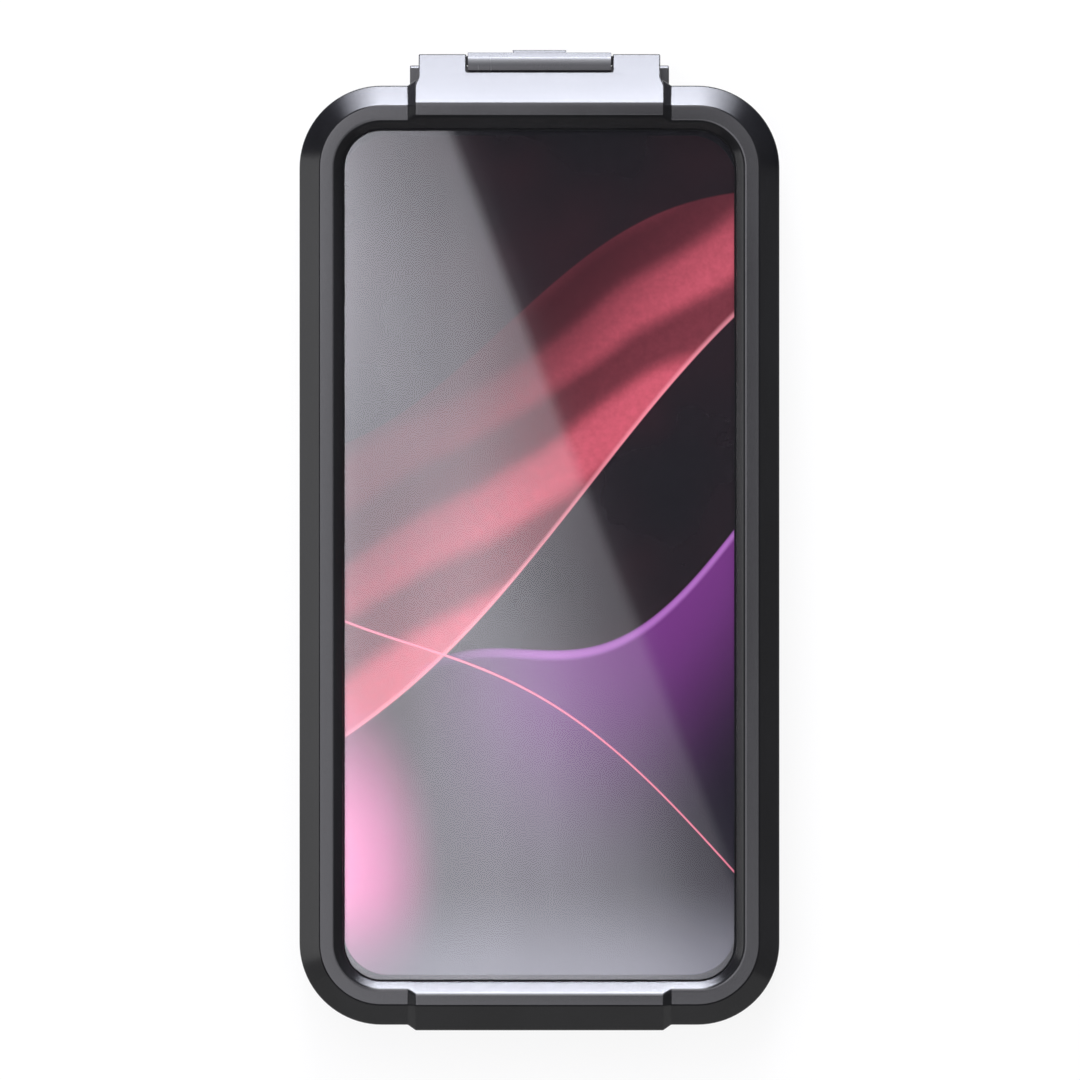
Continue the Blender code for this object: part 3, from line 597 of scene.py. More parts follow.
class Look:
    """A material and its nodes."""

    def __init__(self, name):
        self.material = bpy.data.materials.new(name)
        self.material.use_nodes = True
        self.tree = self.material.node_tree
        self.tree.nodes.clear()
        self.output = self.tree.nodes.new("ShaderNodeOutputMaterial")

    def node(self, kind, inputs=None, **facts):
        item = self.tree.nodes.new("ShaderNode" + kind)
        for fact, value in facts.items():
            setattr(item, fact, value)
        for socket, value in (inputs or {}).items():
            target = item.inputs[socket]
            if isinstance(value, bpy.types.NodeSocket):
                self.tree.links.new(value, target)
            else:
                target.default_value = value
        return item

    def math(self, operation, *values):
        return self.node("Math", dict(enumerate(values)), operation=operation).outputs[0]

    def plus(self, first, *others):
        for value in others:
            first = self.math("ADD", first, value)
        return first

    def times(self, first, *others):
        for value in others:
            first = self.math("MULTIPLY", first, value)
        return first

    def largest(self, first, *others):
        for value in others:
            first = self.math("MAXIMUM", first, value)
        return first

    def distance(self, *values):
        squares = [self.math("POWER", self.math("ABSOLUTE", value), 2.0) for value in values]
        return self.math("SQRT", self.plus(*squares))

    def mix(self, factor, first, second):
        ends = [end if isinstance(end, bpy.types.NodeSocket) else (*end, 1.0)
                for end in (first, second)]
        return self.node("Mix", {0: factor, 6: ends[0], 7: ends[1]}, data_type="RGBA").outputs[2]

    def place(self, scale=(1.0, 1.0, 1.0), turn=(0.0, 0.0, 0.0), shift=(0.0, 0.0, 0.0)):
        """Object coordinates, scaled and turned."""
        source = self.node("TexCoord").outputs["Object"]
        return self.node("Mapping", {"Vector": source, "Scale": scale, "Rotation": turn,
                                     "Location": shift}).outputs[0]

    def parts(self, place):
        return self.node("SeparateXYZ", {0: place}).outputs

    def noise(self, place, scale, detail=2.0, rough=0.5):
        return self.node("TexNoise", {"Vector": place, "Scale": scale, "Detail": detail,
                                      "Roughness": rough}).outputs[0]

    def span(self, value, low, high, to_low=0.0, to_high=1.0, smooth=True):
        kind = "SMOOTHSTEP" if smooth else "LINEAR"
        return self.node("MapRange", {0: value, 1: low, 2: high, 3: to_low, 4: to_high},
                         interpolation_type=kind).outputs[0]

    def bump(self, height, strength, distance):
        return self.node("Bump", {"Height": height, "Strength": strength,
                                  "Distance": distance}).outputs[0]

    def show(self, shader):
        self.tree.links.new(shader.outputs[0], self.output.inputs["Surface"])
        return self.material

    def surface(self, ground, roughness, normal, more=None):
        return self.show(self.node("BsdfPrincipled", {
            "Base Color": ground, "Roughness": roughness, "Normal": normal, **(more or {})}))

    def lamp(self, tint, strength):
        return self.show(self.node("Emission", {"Color": (*tint, 1.0), "Strength": strength}))


def toned(tint, factor, lift=0.0):
    """The same colour, lighter or darker."""
    return tuple(min(1.0, value * factor + lift) for value in tint)


def moulded_plastic(name, tint, roughness, gloss=1.40):
    """Dark plastic with a fine spark-eroded grain and faint flow marks."""
    look = Look(name)
    grain = look.noise(look.place(), 5200.0, 3.0, 0.6)
    flow = look.noise(look.place((1.0, 0.35, 1.0)), 60.0, 3.0)
    scuff = look.noise(look.place((1.0, 0.08, 1.0), (0.0, 0.0, 0.5)), 900.0, 2.0)
    ground = look.mix(look.span(flow, 0.35, 0.65), tint, toned(tint, 1.35, 0.001))
    matt = look.plus(look.span(flow, 0.3, 0.7, roughness, roughness + 0.02),
                     look.span(scuff, 0.45, 0.9, 0.0, 0.010))
    return look.surface(ground, matt, look.bump(grain, 0.20, 0.000012), {"IOR": gloss})


def clear_sheet(name, tint, roughness):
    """A clear sheet that light passes through on its way to what lies behind."""
    look = Look(name)
    waves = look.noise(look.place((1.0, 0.6, 1.0)), 28.0, 1.0)
    haze = look.span(look.noise(look.place(), 140.0, 3.0), 0.4, 0.75, roughness, roughness * 2)
    shader = look.node("BsdfPrincipled", {"Base Color": (*tint, 1.0), "Roughness": haze,
                                          "Transmission Weight": 1.0, "IOR": 1.50,
                                          "Normal": look.bump(waves, 0.05, 0.0004)})
    clear = look.node("BsdfTransparent", {"Color": (0.97, 0.97, 0.98, 1.0)})
    path = look.node("LightPath").outputs
    lit = look.largest(path["Is Shadow Ray"], path["Is Diffuse Ray"], path["Is Glossy Ray"])
    return look.show(look.node("MixShader", {0: lit, 1: shader.outputs[0], 2: clear.outputs[0]}))


def printed_card(values):
    """A coated card printed with slanting waves of colour inside a plain margin."""
    look = Look("printed_card")
    # Picture coordinates: thousandths of a metre from the middle of the card
    place = look.place((1000.0, 1000.0, 1000.0), shift=(0.0, -1000.0 * CASE_SHIFT, 0.0))
    across, along, depth = look.parts(place)

    def wave(height, slope, swing, rate, phase):
        """How far a point lies above a slanting wave."""
        bend = look.math("SINE", look.plus(look.times(across, rate), phase))
        line = look.plus(look.times(across, slope), height, look.times(bend, swing))
        return look.math("SUBTRACT", along, line)

    def near(value, far, close_by, most):
        """Strong where the value is about 0."""
        return look.span(look.math("ABSOLUTE", value), far, close_by, 0.0, most)

    fine = look.noise(look.place(), 900.0, 4.0, 0.65)
    cloud = look.noise(look.place(), 26.0, 3.0, 0.5)
    drift = look.noise(look.place((1.0, 2.4, 1.0), (0.0, 0.0, 0.55)), 34.0, 2.0)

    # Warm wave: a folded band with darker stripes on it
    upper = wave(46.0, 0.50, 7.0, 0.060, 0.4)
    lower = wave(4.0, 0.95, 6.0, 0.055, -0.5)
    inside = look.times(look.span(upper, 0.25, -0.25), look.span(lower, -0.25, 0.25))
    stripe = look.node("TexWave", {"Vector": look.place(turn=(0.0, 0.0, -0.55)), "Scale": 17.0,
                                   "Distortion": 2.2, "Detail": 1.5, "Detail Scale": 1.2},
                       wave_type="BANDS", bands_direction="Y").outputs[1]
    fold = look.times(look.span(stripe, 0.1, 0.85, 0.25, 1.0),
                      look.span(lower, 46.0, 0.0, 0.12, 1.0),
                      look.span(fine, 0.2, 0.9, 0.8, 1.1))
    rose = look.mix(fold, (0.030, 0.008, 0.011), values.card_rose)
    rose = look.mix(near(lower, 1.6, 0.2, 0.55), rose, (0.90, 0.32, 0.36))
    picture = look.mix(look.span(cloud, 0.35, 0.8), values.card_ground, (0.022, 0.010, 0.013))
    picture = look.mix(inside, picture, rose)

    # Cool wave from the right, bright along its rim and dark below
    rim = wave(-16.0, 0.62, -9.0, 0.075, 0.2)
    body = look.math("POWER", look.span(rim, -62.0, 0.0, 0.02, 1.0), 2.2)
    violet = look.mix(body, (0.012, 0.010, 0.016), values.card_violet)
    violet = look.mix(near(look.plus(rim, 0.9), 1.4, 0.1, 0.7), violet, (0.42, 0.16, 0.46))
    cool = look.times(look.span(rim, 0.2, -0.2), look.span(look.plus(across, drift), -26.0, 6.0))
    picture = look.mix(cool, picture, violet)

    # Soft pink glow low at the left, and one fine line
    low_left = look.distance(*(look.math("DIVIDE", look.plus(value, middle), size)
                               for value, middle, size in ((across, 40.0, 20.0),
                                                           (along, 60.0, 34.0))))
    picture = look.mix(look.span(low_left, 1.15, 0.15, 0.0, 0.95), picture, values.card_pink)
    thread = wave(-34.0, -0.72, 8.0, 0.050, 1.2)
    picture = look.mix(near(thread, 0.34, 0.14, 0.8), picture, (0.80, 0.20, 0.27))

    # Paler and greyer towards the lower edge
    picture = look.mix(look.span(along, -60.0, -82.0, 0.0, 0.8), picture, (0.13, 0.13, 0.15))

    # Plain margin outside the rounded picture, as dark as the shade under the frame's lip: print
    # and painted shade
    outside = []
    for value, half in zip((across, along), PICTURE_HALF):
        past = look.math("SUBTRACT", look.math("ABSOLUTE", value), half - PICTURE_RADIUS)
        outside.append(look.largest(past, 0.0))
    margin = look.span(look.distance(*outside), PICTURE_RADIUS - PICTURE_FADE,
                       PICTURE_RADIUS + PICTURE_FADE)
    picture = look.mix(margin, picture, values.card_margin_and_shade)

    # Plain board on the side that faces the phone
    heights = [corner[2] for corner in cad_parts["display_card"].bound_box]
    middle = 1000.0 * (min(heights) + max(heights)) / 2
    board = look.mix(look.span(fine, 0.3, 0.7), (0.20, 0.19, 0.18), (0.25, 0.24, 0.22))
    front = look.span(depth, middle - BOARD_FADE, middle + BOARD_FADE)
    return look.surface(
        look.mix(front, board, picture), look.span(fine, 0.2, 0.8, 0.46, 0.54),
        look.bump(fine, 0.04, 0.00001),
        {"Coat Weight": 1.0, "Coat Roughness": 0.05, "Coat IOR": 1.5, "Specular IOR Level": 0.04})


def seal_rubber(tint):
    """Matt rubber with a little dust on it."""
    look = Look("seal_rubber_look")
    dust = look.noise(look.place(), 2600.0, 4.0, 0.7)
    ground = look.mix(look.span(dust, 0.55, 0.85), tint, toned(tint, 2.6))
    return look.surface(ground, look.span(dust, 0.2, 0.8, 0.58, 0.74),
                        look.bump(dust, 0.3, 0.00001))


def ground_steel(tint):
    """Steel with fine rings round its own length."""
    look = Look("ground_steel")
    rings = look.noise(look.place((1.0, 0.02, 0.02)), 9000.0, 2.0)
    ground = look.mix(look.span(rings, 0.3, 0.7), toned(tint, 0.82), tint)
    return look.surface(ground, look.span(rings, 0.2, 0.8, 0.22, 0.36),
                        look.bump(rings, 0.15, 0.000004), {"Metallic": 1.0})


def cell_foam(tint):
    """Fine closed-cell foam: small pits in a matt skin, with painted shade in the pits."""
    look = Look("cell_foam")
    cells = look.node("TexVoronoi", {"Vector": look.place(), "Scale": 2100.0}).outputs["Distance"]
    tone = look.noise(look.place(), 180.0, 4.0, 0.6)
    ground = look.mix(look.span(tone, 0.3, 0.75), toned(tint, 0.75), toned(tint, 1.35))
    # Painted shade: the pits of the cells are darker
    ground = look.mix(look.span(cells, 0.10, 0.5), toned(tint, 0.5), ground)
    return look.surface(ground, look.span(tone, 0.2, 0.8, 0.82, 0.95),
                        look.bump(cells, 0.45, 0.00006),
                        {"Sheen Weight": 0.15, "Sheen Roughness": 0.5})


def dress_node(name, look):
    """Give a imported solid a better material."""
    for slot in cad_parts[name].material_slots:
        slot.material = look


# Pieces


def frame_pad(place):
    """How far a station belongs to a saddle pad."""
    if place[0] != "end":
        return 0.0
    return ramp((PAD_TOP_HALF + PAD_FLANK - abs(place[1])) / PAD_FLANK, 0.1)


def pad_marks():
    marks = []
    for reach in (-0.1, -0.05, 0.0, 0.05, 0.1, 0.9, 0.95, 1.0, 1.05, 1.1):
        x = PAD_TOP_HALF + PAD_FLANK * (1 - reach)
        marks += [x, -x]
    return marks


def frame_section(edge, inner):
    """The frame's section from its foot over the front into the window and back down to the bay."""
    rise = PAD_RISE
    seat = WINDOW_INSET - FILM_LEDGE
    return soft_path([
        case_level(0.0, FRAME_FOOT, edge, (PAD_PROUD, 0.0)),
        case_level(0.0, FRONT_HEIGHT - FRONT_CHAMFER, edge, (PAD_PROUD, 0.0)),
        case_level(FRONT_CHAMFER, FRONT_HEIGHT, edge, (PAD_PROUD - rise, rise)),
        case_level(FRONT_CHAMFER + FRONT_BAND, FRONT_HEIGHT, inner, (rise, rise)),
        case_level(WINDOW_INSET, FRONT_HEIGHT - WINDOW_BEVEL, inner / 2),
        case_level(WINDOW_INSET, LIP_FOOT, inner / 2),
        case_level(seat, LIP_FOOT),
        case_level(seat, RETAINER_FOOT),
        bay_level(0.0, RETAINER_FOOT),
        bay_level(0.0, FRAME_FOOT, inner),
    ])


def latch_lug():
    """The wedge over the latch, with its edges rounded and the notch for the lever's nose."""
    shape = bmesh.new()
    rows = []
    for y, half in ((LUG_START - LUG_LAND, LUG_HALF), (LUG_START, LUG_HALF),
                    (HALF_LENGTH, LUG_HALF), (HALF_LENGTH + LUG_STEP, LUG_TIP_HALF),
                    (LUG_TIP, LUG_TIP_HALF)):
        top = PAD_HEIGHT - max(0.0, y - LUG_START)
        corners = ((-half, y, FRAME_FOOT), (half, y, FRAME_FOOT), (half, y, top), (-half, y, top))
        rows.append([shape.verts.new(corner) for corner in corners])
    for near, far in zip(rows, rows[1:]):
        skin(shape, near, far)
    lug = close("lug", shape, (rows[0], rows[-1]))
    notch = box_outline(NOTCH_FACE, LUG_TIP + PAST, FRAME_FOOT - PAST, PAD_HEIGHT)
    cut(lug, bar("notch", notch, -NOTCH_HALF, NOTCH_HALF))
    return soften(lug, LUG_ROUND)


def lug_pockets():
    outside = LUG_TIP - LUG_SKIN
    slope = PAD_HEIGHT + LUG_START - LUG_SKIN * math.sqrt(2.0)
    outline = [
        (HALF_LENGTH, FRAME_FOOT - PAST),
        (outside, FRAME_FOOT - PAST),
        (outside, max(slope - outside, FRAME_FOOT + GAP)),
        (HALF_LENGTH, slope - HALF_LENGTH),
    ]
    near = NOTCH_HALF + LUG_SKIN
    far = LUG_TIP_HALF - LUG_SKIN
    middle = (near + far) / 2
    spans = [(near, middle - LUG_RIB / 2), (middle + LUG_RIB / 2, far)]
    spans += [(-end, -start) for start, end in spans]
    return [bar(f"pocket_{index}", outline, *span) for index, span in enumerate(spans)]


def catch_lip():
    inside = NOTCH_FACE - LUG_SKIN / 2
    top = latch_curve(CATCH_RADIUS, CATCH_FACE, inside, CATCH_STEPS)
    half = NOTCH_HALF + LUG_SKIN / 2
    return bar("catch", [(inside, FRAME_FOOT), (CATCH_FACE, FRAME_FOOT), *top], -half, half)


def hinge_relief():
    inside = HINGE_Y + HINGE_RELIEF_INSET
    outline = [
        (inside, FRAME_FOOT - PAST),
        (inside, PARTING_HEIGHT + HINGE_RELIEF),
        (-HALF_LENGTH - PAST, PARTING_HEIGHT + HINGE_RELIEF),
        (-HALF_LENGTH - PAST, FRAME_FOOT - PAST),
    ]
    return bar("relief", outline, -HALF_WIDTH - PAST, HALF_WIDTH + PAST)


def knuckle_spans():
    inner, outer = KNUCKLE_SPLITS
    rear = [(-KNUCKLE_REACH, -outer - GAP), (-inner, inner), (outer + GAP, KNUCKLE_REACH)]
    front = [(-outer, -inner - GAP), (inner + GAP, outer)]
    return rear, front


def knuckle_rods(name, spans, radius, grow):
    return [hinge_rod(f"{name}_{index}", radius, start - grow, end + grow, steps=KNUCKLE_STEPS)
            for index, (start, end) in enumerate(spans)]


def build_frame():
    values = settings("case_shell")
    rear, front = knuckle_spans()
    places = stations(values.corner_steps, pad_marks())
    body = ring_solid("case_frame", frame_section(values.edge, values.inner_edge), places,
                      pad=frame_pad)
    fuse(body, latch_lug())
    cut(body, *lug_pockets())
    fuse(body, catch_lip())
    cut(body, hinge_relief())
    fuse(body, hinge_rod("barrel", KNUCKLE_RADIUS, front[0][0], front[-1][1], GAP / 2))
    cut(body, *knuckle_rods("clearance", rear, KNUCKLE_RADIUS + GAP, GAP))
    cut(body, hinge_rod("bore", HINGE_PIN_RADIUS + GAP, -KNUCKLE_REACH, KNUCKLE_REACH))
    look = moulded_plastic("frame_plastic", values.tint, values.roughness)
    finish(body, look, "lid", ["front_frame"])
    dress_node("window_retainer", look)


def tray_section(edge, inner):
    """The tray's section from its flat back up to the rim and down inside to the floor."""
    groove = REAR_RIM - GROOVE_DEPTH
    return soft_path([
        case_level(TRAY_CHAMFER + FLOOR_INSET, 0.0),
        case_level(TRAY_CHAMFER, 0.0, edge),
        case_level(0.0, TRAY_CHAMFER, edge),
        case_level(0.0, REAR_RIM, edge),
        bay_level(GROOVE_LAND + GROOVE_WIDTH, REAR_RIM, inner / 2),
        bay_level(GROOVE_LAND + GROOVE_WIDTH, groove),
        bay_level(GROOVE_LAND, groove),
        bay_level(GROOVE_LAND, REAR_RIM, inner / 2),
        bay_level(0.0, REAR_RIM, inner / 2),
        bay_level(0.0, FLOOR_THICKNESS, FLOOR_ROUND),
        bay_level(-FLOOR_INSET, FLOOR_THICKNESS),
    ], closed=False)


def latch_boss():
    outline = [
        (BOSS_ROOT, BOSS_FOOT),
        (BOSS_TIP - BOSS_SLOPE, BOSS_FOOT),
        (BOSS_TIP, BOSS_FOOT + BOSS_SLOPE),
        (BOSS_TIP, REAR_RIM - BOSS_EDGE),
        (BOSS_TIP - BOSS_EDGE, REAR_RIM),
        (BOSS_ROOT, REAR_RIM),
    ]
    boss = bar("boss", outline, -BOSS_HALF, BOSS_HALF)
    cut(boss, latch_slot())
    return soften(boss, BOSS_ROUND)


def latch_slot():
    outline = box_outline(LATCH_Y - LEVER_BARREL - GAP, BOSS_TIP + PAST, -PAST, REAR_RIM + PAST)
    return bar("latch_slot", outline, -BOSS_SLOT_HALF, BOSS_SLOT_HALF)


def socket_tools():
    reach = SOCKET_RADIUS - GAP
    tools = [
        drum("undercut", SOCKET_RADIUS, SOCKET_LUG_THICKNESS, SOCKET_DEPTH, SOCKET_Y),
        drum("mouth", SOCKET_MOUTH, -PAST, SOCKET_DEPTH - GAP, SOCKET_Y),
    ]
    for index, half in enumerate(((reach, SOCKET_SLOT_HALF), (SOCKET_SLOT_HALF, reach))):
        tools.append(rounded_block(f"slot_{index}", half, -PAST, SOCKET_DEPTH - 2 * GAP,
                                   SOCKET_SLOT_RADIUS, (0.0, SOCKET_Y), SOCKET_SLOT_STEPS))
    return tools


def camera_tools():
    def block(name, grow, low):
        half = (CAMERA_HALF[0] + grow, CAMERA_HALF[1] + grow)
        return rounded_block(name, half, low, FLOOR_THICKNESS + PAST, CAMERA_RADIUS + grow,
                             CAMERA_CENTRE, CAMERA_STEPS)

    wide = CAMERA_FLARE + PAST
    mouth = ring_solid("camera_flare", [
        level(CAMERA_HALF[0] + wide, CAMERA_HALF[1] + wide, CAMERA_RADIUS + wide, -PAST)[0],
        level(*CAMERA_HALF, CAMERA_RADIUS, CAMERA_FLARE)[0],
    ], stations(CAMERA_STEPS), closed=False, centre=CAMERA_CENTRE)
    return [block("camera_opening", 0.0, -PAST),
            block("camera_seat", CAMERA_LEDGE, CAMERA_LEDGE_HEIGHT), mouth]


def build_tray():
    values = settings("case_shell")
    rear, front = knuckle_spans()
    body = ring_solid("case_tray", tray_section(values.edge, values.inner_edge),
                      stations(values.corner_steps), closed=False)
    fuse(body, latch_boss())
    fuse(body, drum("socket_boss", SOCKET_BOSS_RADIUS, FLOOR_THICKNESS - 2 * GAP,
                    FLOOR_THICKNESS + SOCKET_BOSS_RISE, SOCKET_Y, GAP))
    cut(body, latch_slot())
    cut(body, latch_rod("latch_bore", LATCH_PIN_RADIUS + GAP, BOSS_HALF + PAST))
    fuse(body, hinge_rod("barrel", KNUCKLE_RADIUS, rear[0][0], rear[-1][1], GAP / 2))
    cut(body, *knuckle_rods("clearance", front, KNUCKLE_RADIUS + GAP, GAP))
    reach = KNUCKLE_REACH + PAST
    cut(body, hinge_rod("rear_bore", HINGE_PIN_RADIUS + GAP, -reach, reach))
    cut(body, *camera_tools())
    cut(body, *socket_tools())
    look = moulded_plastic("tray_plastic", values.tint, values.roughness + TRAY_MATTER)
    finish(body, look, "tray", ["rear_shell"])


def build_lever():
    values = settings("case_latch")
    steps = values.arc_steps
    inside = LEVER_OUTSIDE - LEVER_THICKNESS
    knee = LEVER_OUTSIDE - (LATCH_Y + LEVER_BARREL)
    half_turn = math.radians(45)
    slope_top = LEVER_OUTSIDE - NOSE_SLOPE - NOSE_ROUND * math.sin(half_turn)
    slope_foot = NOSE_HEIGHT - NOSE_ROUND * (1 - math.cos(half_turn)) - NOSE_SLOPE
    outline = [
        *latch_curve(HOOK_RADIUS, inside, NOSE_FACE, steps),
        (NOSE_FACE, NOSE_HEIGHT),
        *arc((slope_top, NOSE_HEIGHT - NOSE_ROUND), NOSE_ROUND, 90, 45, steps),
        (LEVER_OUTSIDE, slope_foot),
        *arc((LEVER_OUTSIDE - knee, LATCH_HEIGHT + knee), knee, 0, -90, steps),
        *arc((LATCH_Y, LATCH_HEIGHT), LEVER_BARREL, 0, BARREL_TURN, 3 * steps)[1:],
        (inside, LATCH_HEIGHT + LEVER_BARREL + LEVER_THICKNESS),
    ]
    lever = soften(bar("case_lever", outline, -LEVER_HALF, LEVER_HALF), values.edge)
    face = LEVER_OUTSIDE + TAB_PROUD
    root = LEVER_OUTSIDE - TAB_PROUD
    tab = bar("tab", [(root, TAB_LOW - 2 * TAB_PROUD), (face, TAB_LOW), (face, TAB_HIGH),
                      (root, TAB_HIGH + 2 * TAB_PROUD)], -TAB_HALF, TAB_HALF,
              taper=lambda y: TAB_SLANT if y < LEVER_OUTSIDE else 0.0)
    fuse(lever, soften(tab, SMALL_ROUND))
    shoulder = box_outline(BOSS_TIP + SIDE_PLAY, LEVER_OUTSIDE - SHOULDER_INSET, SHOULDER_LOW,
                           SHOULDER_HIGH)
    fuse(lever, soften(bar("shoulder", shoulder, -SHOULDER_HALF, SHOULDER_HALF), SMALL_ROUND))
    cut(lever, latch_rod("lever_bore", LATCH_PIN_RADIUS + GAP, LEVER_HALF + PAST))
    look = moulded_plastic("lever_plastic", values.tint, values.roughness)
    finish(lever, look, "latch", ["latch_lever"])


def build_pins():
    values = settings("case_metal")
    look = ground_steel(values.steel_tint)
    pin = latch_rod("latch_axle", LATCH_PIN_RADIUS, BOSS_HALF - AXLE_INSET, values.pin_edge)
    finish(pin, look, "tray", ["latch_pin"])
    reach = KNUCKLE_REACH - GAP
    pin = hinge_rod("hinge_axle", HINGE_PIN_RADIUS, -reach, reach, values.pin_edge)
    finish(pin, look, "tray", ["hinge_pin"])


def build_seals():
    look = seal_rubber(settings("case_metal").rubber_tint)
    low = REAR_RIM - GROOVE_DEPTH + GAP
    top = FRAME_FOOT - GAP
    near = GROOVE_LAND + GAP
    width = GROOVE_WIDTH - 2 * GAP
    bead = width / 2
    path = soft_path([
        bay_level(near, low, BEAD_EDGE),
        bay_level(near + width, low, BEAD_EDGE),
        bay_level(near + width, top - bead / 2, bead / 3),
        bay_level(near + bead, top, bead / 2),
        bay_level(near, top - bead / 2, bead / 3),
    ], 3)
    ring = ring_solid("rim_bead", path, stations(settings("case_shell").corner_steps))
    finish(ring, look, "tray", ["lid_seal"])
    dress_node("camera_seal", look)


def rib_tree():
    """A row of upright round ribs, from a start point along a step."""
    tree = bpy.data.node_groups.new("Strip ribs", "GeometryNodeTree")
    tree.is_modifier = True
    inputs = {"Count": "Int", "Start": "Vector", "Step": "Vector", "Radius": "Float",
              "Height": "Float", "Material": "Material"}
    for name, kind in inputs.items():
        tree.interface.new_socket(name=name, in_out="INPUT", socket_type="NodeSocket" + kind)
    tree.interface.new_socket(name="Geometry", in_out="OUTPUT", socket_type="NodeSocketGeometry")
    kinds = {"given": "NodeGroupInput", "result": "NodeGroupOutput",
             "line": "GeometryNodeMeshLine", "rib": "GeometryNodeMeshCylinder",
             "place": "GeometryNodeInstanceOnPoints", "real": "GeometryNodeRealizeInstances",
             "paint": "GeometryNodeSetMaterial"}
    nodes = {key: tree.nodes.new(kind) for key, kind in kinds.items()}
    nodes["rib"].inputs["Vertices"].default_value = 20
    for source, outlet, target, inlet in (
            ("given", "Count", "line", "Count"),
            ("given", "Start", "line", "Start Location"),
            ("given", "Step", "line", "Offset"),
            ("given", "Radius", "rib", "Radius"),
            ("given", "Height", "rib", "Depth"),
            ("line", "Mesh", "place", "Points"),
            ("rib", "Mesh", "place", "Instance"),
            ("place", "Instances", "real", "Geometry"),
            ("real", "Geometry", "paint", "Geometry"),
            ("given", "Material", "paint", "Material"),
            ("paint", "Geometry", "result", "Geometry")):
        tree.links.new(nodes[source].outputs[outlet], nodes[target].inputs[inlet])
    return tree


def rib_row(name, tree, count, start, step, radius, height, look):
    mesh = bpy.data.meshes.new(name)
    item = bpy.data.objects.new(name, mesh)
    bpy.context.scene.collection.objects.link(item)
    wanted = {"Count": count, "Start": start, "Step": step, "Radius": radius, "Height": height,
              "Material": look}
    grow = item.modifiers.new("ribs", "NODES")
    grow.node_group = tree
    for socket in tree.interface.items_tree:
        if socket.in_out == "INPUT":
            grow[socket.identifier] = wanted[socket.name]
    return baked(item)


def soft_block(name, half, low, high, radius, edge, centre=(0.0, 0.0), crown=0.0):
    """A soft sheet with rounded edges whose upper face swells towards its middle."""
    narrow = min(half)

    def ring(inset, height, reach=0.0):
        return level(half[0] - inset, half[1] - inset, max(radius - inset, radius * 0.2), height,
                     reach)

    corners = [ring(edge * 2, low), ring(0.0, low, edge), ring(0.0, high - crown, edge * 1.4)]
    for share_in in SWELL_PLACES:
        rise = 1 - (1 - share_in / SWELL_PLACES[-1]) ** 2
        corners.append(ring(narrow * share_in, high - crown * (1 - rise)))
    path = soft_path(corners, 4, closed=False)
    return ring_solid(name, path, stations(FOAM_STEPS), closed=False, centre=centre)


def build_foam():
    values = settings("case_foam")
    look = cell_foam(values.tint)
    low = FLOOR_THICKNESS + GAP
    sheet = soft_block("foam_sheet", SHEET_HALF, low, low + SHEET_THICKNESS, SHEET_RADIUS,
                       SHEET_EDGE, crown=values.crown)
    ledge = CAMERA_LEDGE + 2 * GAP
    cut(sheet, rounded_block("hole", (CAMERA_HALF[0] + ledge, CAMERA_HALF[1] + ledge), low - PAST,
                             low + 2 * PAST, CAMERA_RADIUS + ledge, centre=CAMERA_CENTRE),
        drum("round_hole", SOCKET_BOSS_RADIUS + GAP, low - PAST, low + 2 * PAST, SOCKET_Y))
    finish(sheet, look, "tray", ["back_pad"], sharp=FOAM_SHARP)
    tree = rib_tree()
    radius = values.rib_radius
    for name, node, way, middle, thick, reach in STRIPS:
        outer = middle + thick
        inner = middle - thick + radius
        base = (outer + inner) / 2
        half = (outer - inner) / 2
        spread = (half, reach) if way[0] else (reach, half)
        centre = (way[0] * base, way[1] * base)
        strip = soft_block(name, spread, low, STRIP_TOP, half * 0.8, half * 0.5, centre=centre)
        count = int((2 * reach - 4 * radius) / values.rib_pitch) + 1
        run = (count - 1) * values.rib_pitch / 2
        line = inner + radius * RIB_SINK
        height = (low + STRIP_TOP) / 2
        if way[0]:
            start, step = (way[0] * line, -run, height), (0.0, values.rib_pitch, 0.0)
        else:
            start, step = (-run, way[1] * line, height), (values.rib_pitch, 0.0, 0.0)
        fuse(strip, rib_row(name + "_ribs", tree, count, start, step, radius,
                            STRIP_TOP - low - RIB_INSET, look))
        finish(strip, look, "tray", [node], sharp=FOAM_SHARP)


def shadow_gasket():
    """A flat near-black strip between the film and the lip of the frame: painted shade that stands
    in for the shadow gap under the lip.
    """
    hidden = WINDOW_INSET - FILM_LEDGE / 3
    shown = WINDOW_INSET + SHADOW_GASKET_SHOWN
    path = soft_path([case_level(inset, height, SHADOW_GASKET_EDGE)
                      for inset, height in ((hidden, SHADOW_GASKET_FOOT), (hidden, SHADOW_GASKET_TOP),
                                            (shown, SHADOW_GASKET_TOP), (shown, SHADOW_GASKET_FOOT))], 2)
    shade_strip = ring_solid("shadow_gasket", path, stations(settings("case_shell").corner_steps))
    # Near-black with little gloss, so that it shows as dark as the shade it stands in for
    look = moulded_plastic("shadow_gasket_look", (0.003, 0.003, 0.0035), 0.3, gloss=1.12)
    finish(shade_strip, look, "lid")


def build_window():
    values = settings("case_window")
    # Near-black strip round the window's edge: painted shade for the gap under the lip
    shadow_gasket()
    dress_node("window_film", clear_sheet("window_clear", values.film_tint, values.film_roughness))
    dress_node("camera_window", clear_sheet("pane_clear", (0.88, 0.90, 0.92), 0.02))
    dress_node("display_card", printed_card(values))


# Stage


def staged(name, shape, look):
    item = store(name, shape)
    item.data.materials.append(look)
    return item


def flat_panel(name, corners, look):
    shape = bmesh.new()
    shape.faces.new([shape.verts.new(corner) for corner in corners])
    return staged(name, shape, look)


